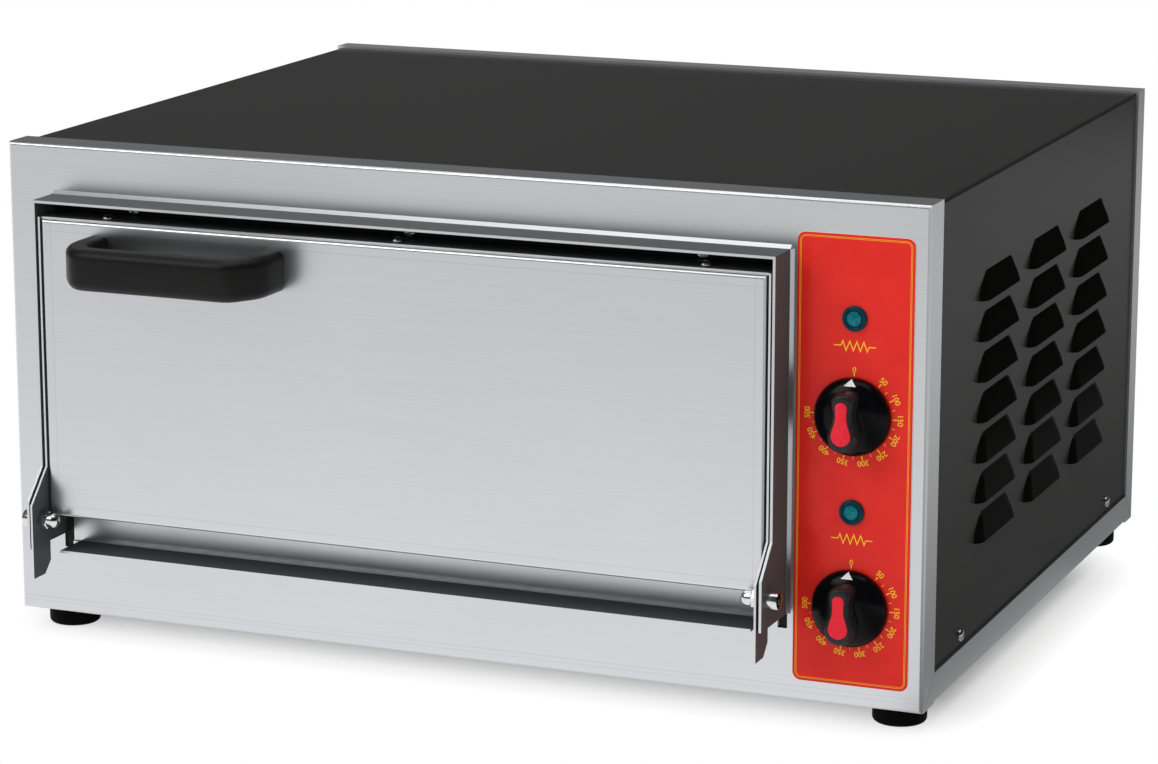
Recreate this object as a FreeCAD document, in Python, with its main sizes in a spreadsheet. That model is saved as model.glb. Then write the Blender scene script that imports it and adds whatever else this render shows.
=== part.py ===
import FreeCAD, Part
import math
import os
import Sketcher

# Countertop electric pizza oven with a drop-down front door.
# Millimetres, +Z up, the door and the controls face -Y, the controls are on the +X side.
# The body's own zero is its middle in plan, at the underside of its casing; every
# sub-part is then placed so that the origin is below the middle of the whole object.

doc = FreeCAD.newDocument("pizza_oven")
sheet = doc.addObject("Spreadsheet::Sheet", "Sizes")

sizes = {
    # casing as a whole
    "body_width": 570.0,
    "body_depth": 465.0,
    "body_height": 286.0,
    "shell_gauge": 1.5,
    "cover_gauge": 1.0,
    "base_gauge": 1.2,
    "bend_radius": 2.0,
    "overrun": 5.0,
    "thread_clearance": 0.05,
    # front fascia: outer flanges, door opening, collar, hinge ears and ledge
    "fascia_flange": 22.0,
    "opening_left_margin": 30.5,
    "control_column": 79.5,
    "opening_top_margin": 29.0,
    "ledge_top": 46.5,
    "ledge_end_gap": 12.0,
    "ledge_depth": 27.0,
    "notch_width": 5.6,
    "notch_bottom": 41.0,
    "collar_depth": 26.5,
    "ear_reach": 43.5,
    "ear_top": 97.0,
    "ear_shoulder": 79.0,
    "ear_bottom": 50.0,
    # rear panel and base
    "rear_flange": 17.5,
    "strip_height": 18.0,
    "mitre_gap": 0.5,
    "base_flange_height": 36.0,
    "base_front_height": 30.0,
    "vent_slot_width": 36.0,
    "vent_slot_height": 4.0,
    "vent_slot_pitch": 11.0,
    "vent_top_margin": 136.0,
    # black cover and its louvres
    "cover_lap": 10.0,
    "cover_bottom_gap": 1.0,
    "louvre_top_width": 50.0,
    "louvre_bottom_width": 74.0,
    "louvre_height": 16.0,
    "louvre_rise": 4.5,
    "louvre_row_pitch": 23.6,
    "louvre_column_pitch": 101.5,
    "louvre_top_margin": 55.5,
    "louvre_first_y": -96.0,
    # feet
    "foot_diameter": 31.0,
    "foot_height": 13.0,
    "foot_bevel": 2.0,
    "foot_inset_x": 21.0,
    "foot_inset_y": 26.0,
    "foot_bore_depth": 8.0,
    # screws
    "small_screw_diameter": 4.0,
    "small_head_diameter": 7.4,
    "small_head_height": 2.6,
    "screw_length": 8.0,
    "foot_screw_diameter": 5.0,
    "foot_head_diameter": 9.5,
    "foot_head_height": 3.5,
    "cover_screw_front_inset": 74.5,
    "cover_screw_rear_inset": 64.5,
    "cover_screw_z": 25.5,
    "rear_screw_inset": 30.0,
    "rear_screw_z": 24.0,
    "mouth_screw_inset": 52.0,
    "mouth_screw_drop": 8.2,
    "mouth_slot_length": 9.0,
    # baking chamber
    "mouth_gauge": 1.2,
    "mouth_margin": 6.0,
    "mouth_low": 92.0,
    "mouth_top_drop": 26.0,
    "mouth_side_gap": 30.0,
    "mouth_frame_low": 38.0,
    "mouth_frame_rise": 6.0,
    "chamber_gauge": 0.8,
    "chamber_side_gap": 25.0,
    "chamber_floor": 66.0,
    "chamber_roof_margin": 54.0,
    "chamber_rear_gap": 42.0,
    "chamber_lip": 16.0,
    "chamber_lip_low": 52.0,
    "chamber_lip_drop": 1.0,
    "support_depth": 24.0,
    "support_inset": 40.0,
    "support_end_gap": 35.0,
    "stone_side_gap": 5.0,
    "stone_rear_gap": 16.5,
    "stone_thickness": 15.0,
    "stone_front_gap": 8.0,
    "rail_height": 17.2,
    "rail_width": 14.0,
    "rail_gauge": 1.5,
    # heating elements
    "element_diameter": 8.0,
    "element_fit": 0.05,
    "element_front_gap": 60.0,
    "element_rear_gap": 83.5,
    "element_bend": 30.0,
    "element_side_gap": 30.0,
    "element_tail": 16.0,
    "upper_element_drop": 12.0,
    "lower_element_lift": 8.0,
    "hanger_inset": 87.0,
    "hanger_gauge": 1.5,
    "hanger_margin": 12.0,
    "hanger_edge": 6.0,
    "bushing_diameter": 14.0,
    "bushing_length": 8.0,
    "bushing_collar": 18.0,
    "bushing_collar_length": 4.0,
    # insulation and the partition beside the control bay
    "top_wool": 38.0,
    "left_wool": 40.0,
    "rear_wool": 32.0,
    "right_wool": 14.5,
    "partition_gauge": 0.8,
    "partition_foot": 14.0,
    "wool_gap": 0.3,
    # door
    "door_side_gap": 5.0,
    "door_bottom": 67.5,
    "door_top_gap": 11.0,
    "door_stand": 26.0,
    "door_skin_gauge": 1.0,
    "door_skin_depth": 18.0,
    "pan_gauge": 1.2,
    "pan_side_gap": 2.8,
    "pan_bottom_rise": 2.5,
    "pan_front_gap": 0.6,
    "pan_top_setback": 2.5,
    "pan_flange": 20.0,
    "pan_fit": 0.4,
    "door_back_gap": 3.2,
    "door_screw_inset": 39.0,
    "door_screw_setback": 10.8,
    "arm_reach": 44.5,
    "arm_top": 97.0,
    "arm_shoulder": 77.0,
    "arm_tail_width": 20.0,
    "arm_tail_length": 34.0,
    "arm_bevel": 7.0,
    "arm_waist": 60.0,
    # hinge
    "pivot_forward": 33.5,
    "pivot_height": 66.5,
    "pivot_diameter": 5.0,
    "pivot_clearance": 0.05,
    "hinge_side_gap": 0.15,
    "hinge_head_diameter": 10.0,
    "hinge_head_height": 7.0,
    "hinge_washer_diameter": 10.0,
    "nut_corners": 11.0,
    "nut_hex_height": 4.5,
    "nut_dome_diameter": 8.6,
    "nut_height": 11.5,
    # handle
    "handle_inset": 94.0,
    "handle_width": 129.0,
    "handle_height": 24.2,
    "handle_reach": 44.0,
    "handle_grip": 14.0,
    "handle_leg": 15.0,
    "handle_drop": 19.5,
    "handle_front_width": 101.0,
    "handle_bevel": 20.0,
    "handle_corner": 12.0,
    "handle_palm_corner": 8.0,
    "handle_round": 3.5,
    "handle_screw_diameter": 5.0,
    "handle_head_diameter": 9.0,
    "handle_head_height": 3.0,
    "handle_screw_depth": 12.0,
    # control strip
    "control_inset": 42.2,
    "label_width": 67.6,
    "label_top_margin": 18.7,
    "label_low": 12.1,
    "label_thickness": 0.5,
    "label_corner": 5.0,
    "lower_knob_z": 57.3,
    "control_margin": 68.0,
    "lamp_above_knob": 54.7,
    "lamp_diameter": 14.3,
    "lamp_rise": 3.5,
    "lamp_barrel_diameter": 10.0,
    "lamp_barrel_length": 34.0,
    "lamp_nut_diameter": 15.0,
    "lamp_nut_height": 4.0,
    # knobs and thermostats
    "knob_diameter": 44.0,
    "knob_rim": 3.0,
    "knob_dome": 8.0,
    "knob_top_diameter": 28.0,
    "knob_gap": 0.8,
    "grip_length": 33.0,
    "grip_wide": 16.5,
    "grip_waist": 10.0,
    "grip_narrow": 13.0,
    "grip_rise": 22.0,
    "insert_margin": 2.6,
    "insert_thickness": 0.8,
    "shaft_diameter": 6.0,
    "shaft_fit": 0.05,
    "shaft_reach": 15.0,
    "shaft_depth": 12.0,
    "bush_diameter": 10.0,
    "bush_reach": 6.0,
    "bush_nut_corners": 15.0,
    "bush_nut_height": 2.5,
    "bush_recess": 17.5,
    "bush_recess_depth": 6.5,
    "thermostat_width": 38.0,
    "thermostat_height": 44.0,
    "thermostat_depth": 32.0,
    "capillary_diameter": 2.4,
    "capillary_lift": 18.0,
    "capillary_run": 50.0,
    "capillary_bend": 10.0,
    "capillary_hole": 7.0,
    "bulb_diameter": 6.0,
    "bulb_length": 90.0,
    "bulb_wall_gap": 3.0,
    # mains entry
    "terminal_length": 60.0,
    "terminal_width": 24.0,
    "terminal_height": 20.0,
    "terminal_inset": 112.5,
    "gland_inset": 40.0,
    "gland_z": 52.0,
    "gland_thread": 16.0,
    "gland_bore": 9.0,
    "gland_hex": 22.0,
    "gland_hex_height": 6.0,
    "gland_cap_diameter": 19.0,
    "gland_cap_height": 12.0,
    "gland_cap_end": 15.0,
    "gland_nut_height": 5.0,
    "gland_tail": 3.0,
}

for row, (alias, number) in enumerate(sizes.items(), start=1):
    sheet.set("A%d" % row, alias)
    sheet.set("B%d" % row, str(number))
    sheet.setAlias("B%d" % row, alias)
doc.recompute()

# Counts and shares that have no length.
louvre_columns = 3
louvre_rows = 7
vent_slots = 6
rear_screws_across = 4
element_runs = 4
grip_waist_share = 0.1
grip_shoulder_share = 0.8
grip_end_share = 0.6


class Size:
    """A length of the sheet, or a sum worked out from such lengths, with its expression."""

    def __init__(self, number, text):
        self.number = number
        self.text = text

    def __add__(self, other):
        return joined(self, "+", other, self.number + plain(other))

    def __radd__(self, other):
        return joined(other, "+", self, plain(other) + self.number)

    def __sub__(self, other):
        return joined(self, "-", other, self.number - plain(other))

    def __rsub__(self, other):
        return joined(other, "-", self, plain(other) - self.number)

    def __mul__(self, other):
        return joined(self, "*", other, self.number * plain(other))

    def __rmul__(self, other):
        return joined(other, "*", self, plain(other) * self.number)

    def __truediv__(self, other):
        return joined(self, "/", other, self.number / plain(other))

    def __neg__(self):
        return joined(0, "-", self, -self.number)


def plain(thing):
    return thing.number if isinstance(thing, Size) else float(thing)


def words(thing):
    return thing.text if isinstance(thing, Size) else repr(float(thing))


def joined(left, sign, right, number):
    return Size(number, "(%s %s %s)" % (words(left), sign, words(right)))


class Sheet:
    """The sheet's cells by alias, as lengths that carry their expression."""

    def __getattr__(self, alias):
        return Size(float(getattr(sheet, alias)), "Sizes." + alias)


s = Sheet()


def bind(item, field, value):
    if isinstance(value, Size):
        item.setExpression(field, value.text)


def move(item, at, turn=None):
    """Place an object at three lengths, turned first where a turn is given."""
    base = FreeCAD.Vector(*[plain(value) for value in at])
    item.Placement = FreeCAD.Placement(base, turn or FreeCAD.Rotation())
    for axis, value in zip("xyz", at):
        bind(item, "Placement.Base." + axis, value)
    return item


UPRIGHT = FreeCAD.Rotation()
TO_BACK = FreeCAD.Rotation(FreeCAD.Vector(1, 0, 0), -90)
TO_FRONT = FreeCAD.Rotation(FreeCAD.Vector(1, 0, 0), 90)
TO_RIGHT = FreeCAD.Rotation(FreeCAD.Vector(0, 1, 0), 90)
TO_LEFT = FreeCAD.Rotation(FreeCAD.Vector(0, 1, 0), -90)
DOWN = FreeCAD.Rotation(FreeCAD.Vector(1, 0, 0), 180)


def block(low, high):
    """A box between two corners."""
    item = doc.addObject("Part::Box", "Block")
    for field, lowest, highest in zip(("Length", "Width", "Height"), low, high):
        bind(item, field, highest - lowest)
    return move(item, low)


def rod(at, turn, diameter, length):
    """A cylinder that starts at a point and runs the way its turn says."""
    item = doc.addObject("Part::Cylinder", "Rod")
    bind(item, "Radius", diameter / 2)
    bind(item, "Height", length)
    return move(item, at, turn)


def taper(at, turn, start_diameter, end_diameter, length):
    item = doc.addObject("Part::Cone", "Taper")
    bind(item, "Radius1", start_diameter / 2)
    bind(item, "Radius2", end_diameter / 2)
    bind(item, "Height", length)
    return move(item, at, turn)


def ball(at, diameter):
    item = doc.addObject("Part::Sphere", "Ball")
    bind(item, "Radius", diameter / 2)
    return move(item, at)


def hexagon(at, turn, across_corners, length):
    item = doc.addObject("Part::Prism", "Hexagon")
    item.Polygon = 6
    bind(item, "Circumradius", across_corners / 2)
    bind(item, "Height", length)
    return move(item, at, turn)


def fuse(*items):
    item = doc.addObject("Part::MultiFuse", "Fuse")
    item.Shapes = list(items)
    return item


def cut(base, *tools):
    item = doc.addObject("Part::Cut", "Cut")
    item.Base = base
    item.Tool = tools[0] if len(tools) == 1 else fuse(*tools)
    return item


def group(*items):
    item = doc.addObject("Part::Compound", "Group")
    item.Links = list(items)
    return item


def prism(plane, points, low, high):
    """A flat outline on one of the origin planes, padded from low to high along its normal."""
    body = doc.addObject("PartDesign::Body", "Prism")
    sketch = body.newObject("Sketcher::SketchObject", "Outline")
    support = [part for part in body.Origin.OriginFeatures if part.Role == plane + "_Plane"][0]
    sketch.AttachmentSupport = [(support, "")]
    sketch.MapMode = "FlatFace"
    start = -high if plane == "XZ" else low
    sketch.AttachmentOffset = FreeCAD.Placement(FreeCAD.Vector(0, 0, plain(start)), UPRIGHT)
    bind(sketch, "AttachmentOffset.Base.z", start)
    corners = [FreeCAD.Vector(plain(across), plain(along), 0) for across, along in points]
    for index, corner in enumerate(corners):
        following = corners[(index + 1) % len(corners)]
        sketch.addGeometry(Part.LineSegment(corner, following), False)
    for index in range(len(corners)):
        sketch.addConstraint(Sketcher.Constraint("Coincident", index, 2, (index + 1) % len(corners), 1))
    for index, point in enumerate(points):
        for kind, value in zip(("DistanceX", "DistanceY"), point):
            number = sketch.addConstraint(Sketcher.Constraint(kind, -1, 1, index, 1, plain(value)))
            bind(sketch, "Constraints[%d]" % number, value)
    pad = body.newObject("PartDesign::Pad", "Pad")
    pad.Profile = sketch
    pad.Length = plain(high - low)
    bind(pad, "Length", high - low)
    body.Tip = pad
    return body


def rounded(base, radius, chosen):
    """Round the edges of an object that a test of their middle and direction chooses."""
    doc.recompute()
    edges = []
    for number, edge in enumerate(base.Shape.Edges, start=1):
        if len(edge.Vertexes) < 2:
            continue
        along = (edge.Vertexes[1].Point - edge.Vertexes[0].Point).normalize()
        if chosen(edge.CenterOfMass, along):
            edges.append((number, plain(radius), plain(radius)))
    item = doc.addObject("Part::Fillet", "Rounded")
    item.Base = base
    item.Edges = edges
    return item


def same(value, length):
    """True where a coordinate is at this length, to a hair."""
    return abs(value - plain(length)) < 1e-4


def mirrored_x(centre, offset):
    """The two places at equal distances either side of a centre."""
    return (centre - offset, centre + offset)


def tube(points, diameter, bend):
    """A round bar bent along straight runs, with an arc of one radius at every corner."""
    corners = [FreeCAD.Vector(*[plain(value) for value in point]) for point in points]
    radius = plain(bend)
    edges = []
    start = corners[0]
    for before, corner, after in zip(corners, corners[1:], corners[2:]):
        back = (before - corner).normalize()
        onward = (after - corner).normalize()
        half = back.getAngle(onward) / 2
        middle = (back + onward).normalize()
        first = corner + back * (radius / math.tan(half))
        last = corner + onward * (radius / math.tan(half))
        crown = corner + middle * (radius / math.sin(half) - radius)
        edges.append(Part.LineSegment(start, first).toShape())
        edges.append(Part.Arc(first, crown, last).toShape())
        start = last
    edges.append(Part.LineSegment(start, corners[-1]).toShape())
    spine = Part.Wire(edges)
    heading = (corners[1] - corners[0]).normalize()
    ring = Part.Wire(Part.makeCircle(plain(diameter) / 2, corners[0], heading))
    return spine.makePipeShell([ring], True, True)


def shaped(shape):
    item = doc.addObject("Part::Feature", "Shaped")
    item.Shape = shape
    return item


# Datums that many pieces share. The front is the fascia's face, the rear the back panel's.
front = -s.body_depth / 2
rear = s.body_depth / 2
half_width = s.body_width / 2
gauge = s.shell_gauge
opening_width = s.body_width - s.opening_left_margin - s.control_column
opening_top = s.body_height - s.opening_top_margin
opening_left = -half_width + s.opening_left_margin
opening_right = half_width - s.control_column
door_x = (opening_left + opening_right) / 2
door_top = opening_top - s.door_top_gap
pan_width = opening_width - 2 * s.pan_side_gap
pivot_y = front - s.pivot_forward
pivot_z = s.pivot_height
cover_side = half_width - gauge
cover_top = s.body_height - gauge
floor_top = gauge + s.base_gauge
small_hole = s.small_screw_diameter + 2 * s.thread_clearance
mouth_front = front + gauge
mouth_screw_z = opening_top - s.mouth_screw_drop
chamber_front = mouth_front + s.mouth_gauge
chamber_back = rear - s.chamber_rear_gap
chamber_left = opening_left + s.chamber_side_gap
chamber_right = opening_right - s.chamber_side_gap
chamber_depth = chamber_back - s.chamber_gauge - chamber_front
chamber_roof = s.body_height - s.chamber_roof_margin
partition_x = chamber_right + s.chamber_gauge + s.right_wool
bay_x = partition_x + s.partition_gauge
door_front = front - s.door_stand
pan_back = mouth_front - s.door_back_gap
label_front = front - s.label_thickness
control_x = half_width - s.control_inset
control_pitch = (s.body_height - s.control_margin) / 2
upper_knob_z = s.lower_knob_z + control_pitch
lower_lamp_z = s.lower_knob_z + s.lamp_above_knob
upper_lamp_z = upper_knob_z + s.lamp_above_knob
gland_x = half_width - s.gland_inset

# The whole object's middle in plan and the floor that it stands on.
shift_x = (s.small_head_height - s.louvre_rise) / 2
shift_y = (s.door_stand + s.handle_reach - s.gland_hex_height - s.gland_cap_height) / 2
shift_z = s.foot_height

nodes = []


def node(label, item):
    """Name a finished sub-part and place it in the whole object's frame."""
    whole = group(item) if item.TypeId in ("Part::Box", "Part::Cylinder") else item
    whole.Label = label
    move(whole, (shift_x, shift_y, shift_z))
    nodes.append(whole)


# Front fascia: a folded stainless pan. The edges of its door opening are folded forwards
# into a collar whose sides reach out at the bottom as the two hinge ears.
fascia_pan = cut(
    block((-half_width, front, 0), (half_width, front + s.fascia_flange, s.body_height)),
    block((-half_width + gauge, front + gauge, gauge),
          (half_width - gauge, front + s.fascia_flange + s.overrun, s.body_height - gauge)))
mitre_start = gauge + s.bend_radius
fascia_mitre = prism("YZ", [(front + mitre_start, gauge), (front + s.fascia_flange, gauge),
                            (front + s.fascia_flange, s.strip_height)],
                     -half_width - s.overrun, half_width + s.overrun)
door_opening = block((opening_left, front - s.overrun, s.ledge_top - gauge),
                     (opening_right, front + gauge + s.overrun, opening_top))
left_notch = block((opening_left, front - s.overrun, s.notch_bottom),
                   (opening_left + s.notch_width, front + gauge + s.overrun, s.ledge_top))
right_notch = block((opening_right - s.notch_width, front - s.overrun, s.notch_bottom),
                    (opening_right, front + gauge + s.overrun, s.ledge_top))
ear_outline = [(mouth_front, s.ear_bottom), (front - s.ear_reach, s.ear_bottom),
               (front - s.ear_reach, s.ear_shoulder), (front - s.collar_depth, s.ear_top),
               (front - s.collar_depth, opening_top), (mouth_front, opening_top)]
left_collar = prism("YZ", ear_outline, opening_left, opening_left + gauge)
right_collar = prism("YZ", ear_outline, opening_right - gauge, opening_right)
top_collar = block((opening_left, front - s.collar_depth, opening_top - gauge),
                   (opening_right, mouth_front, opening_top))
ledge = block((opening_left + s.ledge_end_gap, front - s.ledge_depth, s.ledge_top - gauge),
              (opening_right - s.ledge_end_gap, mouth_front, s.ledge_top))
ear_bores = rod((opening_left - s.overrun, pivot_y, pivot_z), TO_RIGHT,
                s.pivot_diameter + 2 * s.thread_clearance, opening_width + 2 * s.overrun)
control_bores = []
for bore_z, bore_diameter in ((upper_knob_z, s.bush_diameter), (s.lower_knob_z, s.bush_diameter),
                              (upper_lamp_z, s.lamp_barrel_diameter),
                              (lower_lamp_z, s.lamp_barrel_diameter)):
    control_bores.append(rod((control_x, front - s.overrun, bore_z), TO_BACK,
                             bore_diameter + 2 * s.thread_clearance, gauge + 2 * s.overrun))
control_bore_group = group(*control_bores)
root_front = front - s.bend_radius
top_root = prism("YZ", [(front, opening_top), (root_front, opening_top),
                        (front, opening_top + s.bend_radius)], opening_left, opening_right)
left_root = prism("XY", [(opening_left, front), (opening_left, root_front),
                         (opening_left - s.bend_radius, front)], s.ear_bottom, opening_top)
right_root = prism("XY", [(opening_right, front), (opening_right, root_front),
                          (opening_right + s.bend_radius, front)], s.ear_bottom, opening_top)
fascia = fuse(cut(fascia_pan, fascia_mitre, door_opening, left_notch, right_notch, control_bore_group),
              left_collar, right_collar, top_collar, ledge, top_root, left_root, right_root)
fascia = rounded(cut(fascia, ear_bores), s.bend_radius, lambda middle, along: same(middle.y, front) and (
    same(abs(middle.x), half_width) or same(middle.z, 0) or same(middle.z, s.body_height)))
node("front_fascia", fascia)

# Rear panel: a folded stainless pan with slots for the control bay and the mains entry.
rear_pan = cut(
    block((-half_width, rear - s.rear_flange, 0), (half_width, rear, s.body_height)),
    block((-half_width + gauge, rear - s.rear_flange - s.overrun, gauge),
          (half_width - gauge, rear - gauge, s.body_height - gauge)))
rear_mitre = prism("YZ", [(rear - mitre_start, gauge), (rear - s.rear_flange, s.strip_height),
                          (rear - s.rear_flange, gauge)],
                   -half_width - s.overrun, half_width + s.overrun)
rear_screw_span = s.body_width - 2 * s.rear_screw_inset
rear_screw_places = [s.rear_screw_inset - half_width + rear_screw_span * step / (rear_screws_across - 1)
                     for step in range(rear_screws_across)]
rear_openings = [rod((gland_x, rear - gauge - s.overrun, s.gland_z), TO_BACK,
                     s.gland_thread + 2 * s.thread_clearance, gauge + 2 * s.overrun)]
for slot_number in range(vent_slots):
    slot_z = s.body_height - s.vent_top_margin + slot_number * s.vent_slot_pitch
    rear_openings.append(block(
        (gland_x - s.vent_slot_width / 2, rear - gauge - s.overrun, slot_z),
        (gland_x + s.vent_slot_width / 2, rear + s.overrun, slot_z + s.vent_slot_height)))
rear_screw_bores = group(*[rod((x, rear - s.screw_length - s.overrun, s.rear_screw_z), TO_BACK, small_hole,
                               s.screw_length + 2 * s.overrun) for x in rear_screw_places])
rear_panel = cut(rear_pan, rear_mitre, rear_screw_bores, group(*rear_openings))
rear_panel = rounded(rear_panel, s.bend_radius, lambda middle, along: same(middle.y, rear) and (
    same(abs(middle.x), half_width) or same(middle.z, 0) or same(middle.z, s.body_height)))
node("rear_panel", rear_panel)

# Base pan: floor, mitred side strips that show below the cover, and joggled flanges behind it.
strip_outline = [(front + mitre_start + s.mitre_gap, gauge), (rear - mitre_start - s.mitre_gap, gauge),
                 (rear - s.rear_flange - s.mitre_gap, s.strip_height),
                 (front + s.fascia_flange + s.mitre_gap, s.strip_height)]
flange_inner = cover_side - s.cover_gauge - s.base_gauge
flange_outer = cover_side - s.cover_gauge
flange_start = front + s.fascia_flange + s.mitre_gap
flange_end = rear - s.rear_flange - s.mitre_gap
joggle_low = s.strip_height - s.base_gauge
base_pieces = [
    block((-cover_side, front + gauge, gauge), (cover_side, rear - gauge, floor_top)),
    block((-cover_side, front + gauge, gauge),
          (cover_side, front + gauge + s.base_gauge, s.base_front_height)),
    block((-cover_side, rear - gauge - s.base_gauge, gauge),
          (cover_side, rear - gauge, s.base_flange_height)),
    prism("YZ", strip_outline, cover_side, half_width),
    prism("YZ", strip_outline, -half_width, -cover_side),
    block((flange_inner, flange_start, joggle_low), (half_width, flange_end, s.strip_height)),
    block((-half_width, flange_start, joggle_low), (-flange_inner, flange_end, s.strip_height)),
    block((flange_inner, flange_start, joggle_low), (flange_outer, flange_end, s.base_flange_height)),
    block((-flange_outer, flange_start, joggle_low), (-flange_inner, flange_end, s.base_flange_height)),
]
foot_places = [(x, y) for x in mirrored_x(0 * s.body_width, half_width - s.foot_inset_x)
               for y in mirrored_x(0 * s.body_depth, rear - s.foot_inset_y)]
foot_hole = s.foot_screw_diameter + 2 * s.thread_clearance
foot_bores = group(*[rod((x, y, -s.overrun), UPRIGHT, foot_hole, floor_top + 2 * s.overrun)
                     for x, y in foot_places])
cover_screw_ys = (front + s.cover_screw_front_inset, rear - s.cover_screw_rear_inset)
cover_bores = group(*[rod((-half_width - s.overrun, y, s.cover_screw_z), TO_RIGHT, small_hole,
                          s.body_width + 2 * s.overrun) for y in cover_screw_ys])
node("base_pan", cut(fuse(*base_pieces), foot_bores, cover_bores, rear_screw_bores))

# Outer cover: one black-painted sheet folded over the top and both sides, tucked under the
# flanges of the two pans, with louvres pressed out of its right side.
cover_start = front + s.fascia_flange - s.cover_lap
cover_end = rear - s.rear_flange + s.cover_lap
cover_bottom = s.strip_height + s.cover_bottom_gap
cover_sheet = cut(
    block((-cover_side, cover_start, cover_bottom), (cover_side, cover_end, cover_top)),
    block((-cover_side + s.cover_gauge, cover_start - s.overrun, cover_bottom - s.overrun),
          (cover_side - s.cover_gauge, cover_end + s.overrun, cover_top - s.cover_gauge)))
cover_sheet = rounded(cover_sheet, s.bend_radius, lambda middle, along: (
    same(abs(middle.x), cover_side) and same(middle.z, cover_top)))
hood_turn = FreeCAD.Rotation(FreeCAD.Vector(0, -1, 0), FreeCAD.Vector(0, 0, -1),
                             FreeCAD.Vector(1, 0, 0), "XYZ")


def hood(y, z, top_width, bottom_width, start, back, top_rise, bottom_rise):
    """A wedge that stands out from the cover's right side and grows downwards."""
    item = doc.addObject("Part::Wedge", "Hood")
    for field, value in (("Xmin", -top_width / 2), ("Xmax", top_width / 2),
                         ("X2min", -bottom_width / 2), ("X2max", bottom_width / 2),
                         ("Ymin", start), ("Ymax", s.louvre_height), ("Zmin", back), ("Z2min", back),
                         ("Zmax", top_rise), ("Z2max", bottom_rise)):
        setattr(item, field, plain(value))
        bind(item, field, value)
    return move(item, (cover_side, y, z), hood_turn)


hoods = []
hood_hollows = []
for column in range(louvre_columns):
    for line in range(louvre_rows):
        hood_y = s.louvre_first_y + column * s.louvre_column_pitch
        hood_z = s.body_height - s.louvre_top_margin - line * s.louvre_row_pitch
        hoods.append(hood(hood_y, hood_z, s.louvre_top_width, s.louvre_bottom_width, 0,
                          -s.cover_gauge, 0 * s.louvre_rise, s.louvre_rise))
        hood_hollows.append(hood(hood_y, hood_z, s.louvre_top_width - 2 * s.cover_gauge,
                                 s.louvre_bottom_width - 2 * s.cover_gauge, s.cover_gauge,
                                 -2 * s.cover_gauge,
                                 s.louvre_rise * s.cover_gauge / s.louvre_height - s.cover_gauge,
                                 s.louvre_rise - s.cover_gauge))
node("outer_cover", cut(fuse(cover_sheet, *hoods), group(*hood_hollows), cover_bores))

# Rubber feet and the screws that hold them from inside.
feet = []
foot_screws = []
for x, y in foot_places:
    foot = fuse(rod((x, y, s.foot_bevel - s.foot_height), UPRIGHT, s.foot_diameter,
                    s.foot_height - s.foot_bevel),
                taper((x, y, -s.foot_height), UPRIGHT, s.foot_diameter - 2 * s.foot_bevel, s.foot_diameter,
                      s.foot_bevel))
    feet.append(cut(foot, rod((x, y, -s.foot_bore_depth), UPRIGHT, foot_hole, s.foot_bore_depth + s.overrun)))
    foot_screws.append(fuse(
        rod((x, y, -s.foot_bore_depth), UPRIGHT, s.foot_screw_diameter, s.foot_bore_depth + floor_top),
        rod((x, y, floor_top), UPRIGHT, s.foot_head_diameter, s.foot_head_height)))
node("rubber_feet", group(*feet))
node("foot_screws", group(*foot_screws))


def small_screw(x, y, z, turn, back_turn):
    """A small pan-head screw whose head sits on the face at this point."""
    return fuse(rod((x, y, z), turn, s.small_head_diameter, s.small_head_height),
                rod((x, y, z), back_turn, s.small_screw_diameter, s.screw_length))


# Screws of the cover and of the rear panel.
cover_screws = []
for y in cover_screw_ys:
    cover_screws.append(small_screw(cover_side, y, s.cover_screw_z, TO_RIGHT, TO_LEFT))
    cover_screws.append(small_screw(-cover_side, y, s.cover_screw_z, TO_LEFT, TO_RIGHT))
node("cover_screws", group(*cover_screws))
node("rear_screws", group(*[small_screw(x, rear, s.rear_screw_z, TO_BACK, TO_FRONT)
                            for x in rear_screw_places]))

# Mouth frame: the plate behind the door opening, hung on three screws in slots.
mouth_screw_places = (opening_left + s.mouth_screw_inset, door_x, opening_right - s.mouth_screw_inset)


def mouth_slot(x):
    reach = (s.mouth_slot_length - small_hole) / 2
    depth = s.mouth_gauge + 2 * s.overrun
    start = mouth_front - s.overrun
    return fuse(rod((x - reach, start, mouth_screw_z), TO_BACK, small_hole, depth),
                rod((x + reach, start, mouth_screw_z), TO_BACK, small_hole, depth),
                block((x - reach, start, mouth_screw_z - small_hole / 2),
                      (x + reach, start + depth, mouth_screw_z + small_hole / 2)))


mouth_plate = block((opening_left - s.mouth_margin, mouth_front, s.mouth_frame_low),
                    (opening_right + s.mouth_margin, chamber_front, opening_top + s.mouth_frame_rise))
mouth_hole = block((opening_left + s.mouth_side_gap, mouth_front - s.overrun, s.mouth_low),
                   (opening_right - s.mouth_side_gap, chamber_front + s.overrun,
                    opening_top - s.mouth_top_drop))
node("mouth_frame", cut(mouth_plate, mouth_hole, group(*[mouth_slot(x) for x in mouth_screw_places])))
node("mouth_screws", group(*[small_screw(x, mouth_front, mouth_screw_z, TO_FRONT, TO_BACK)
                             for x in mouth_screw_places]))

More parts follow.
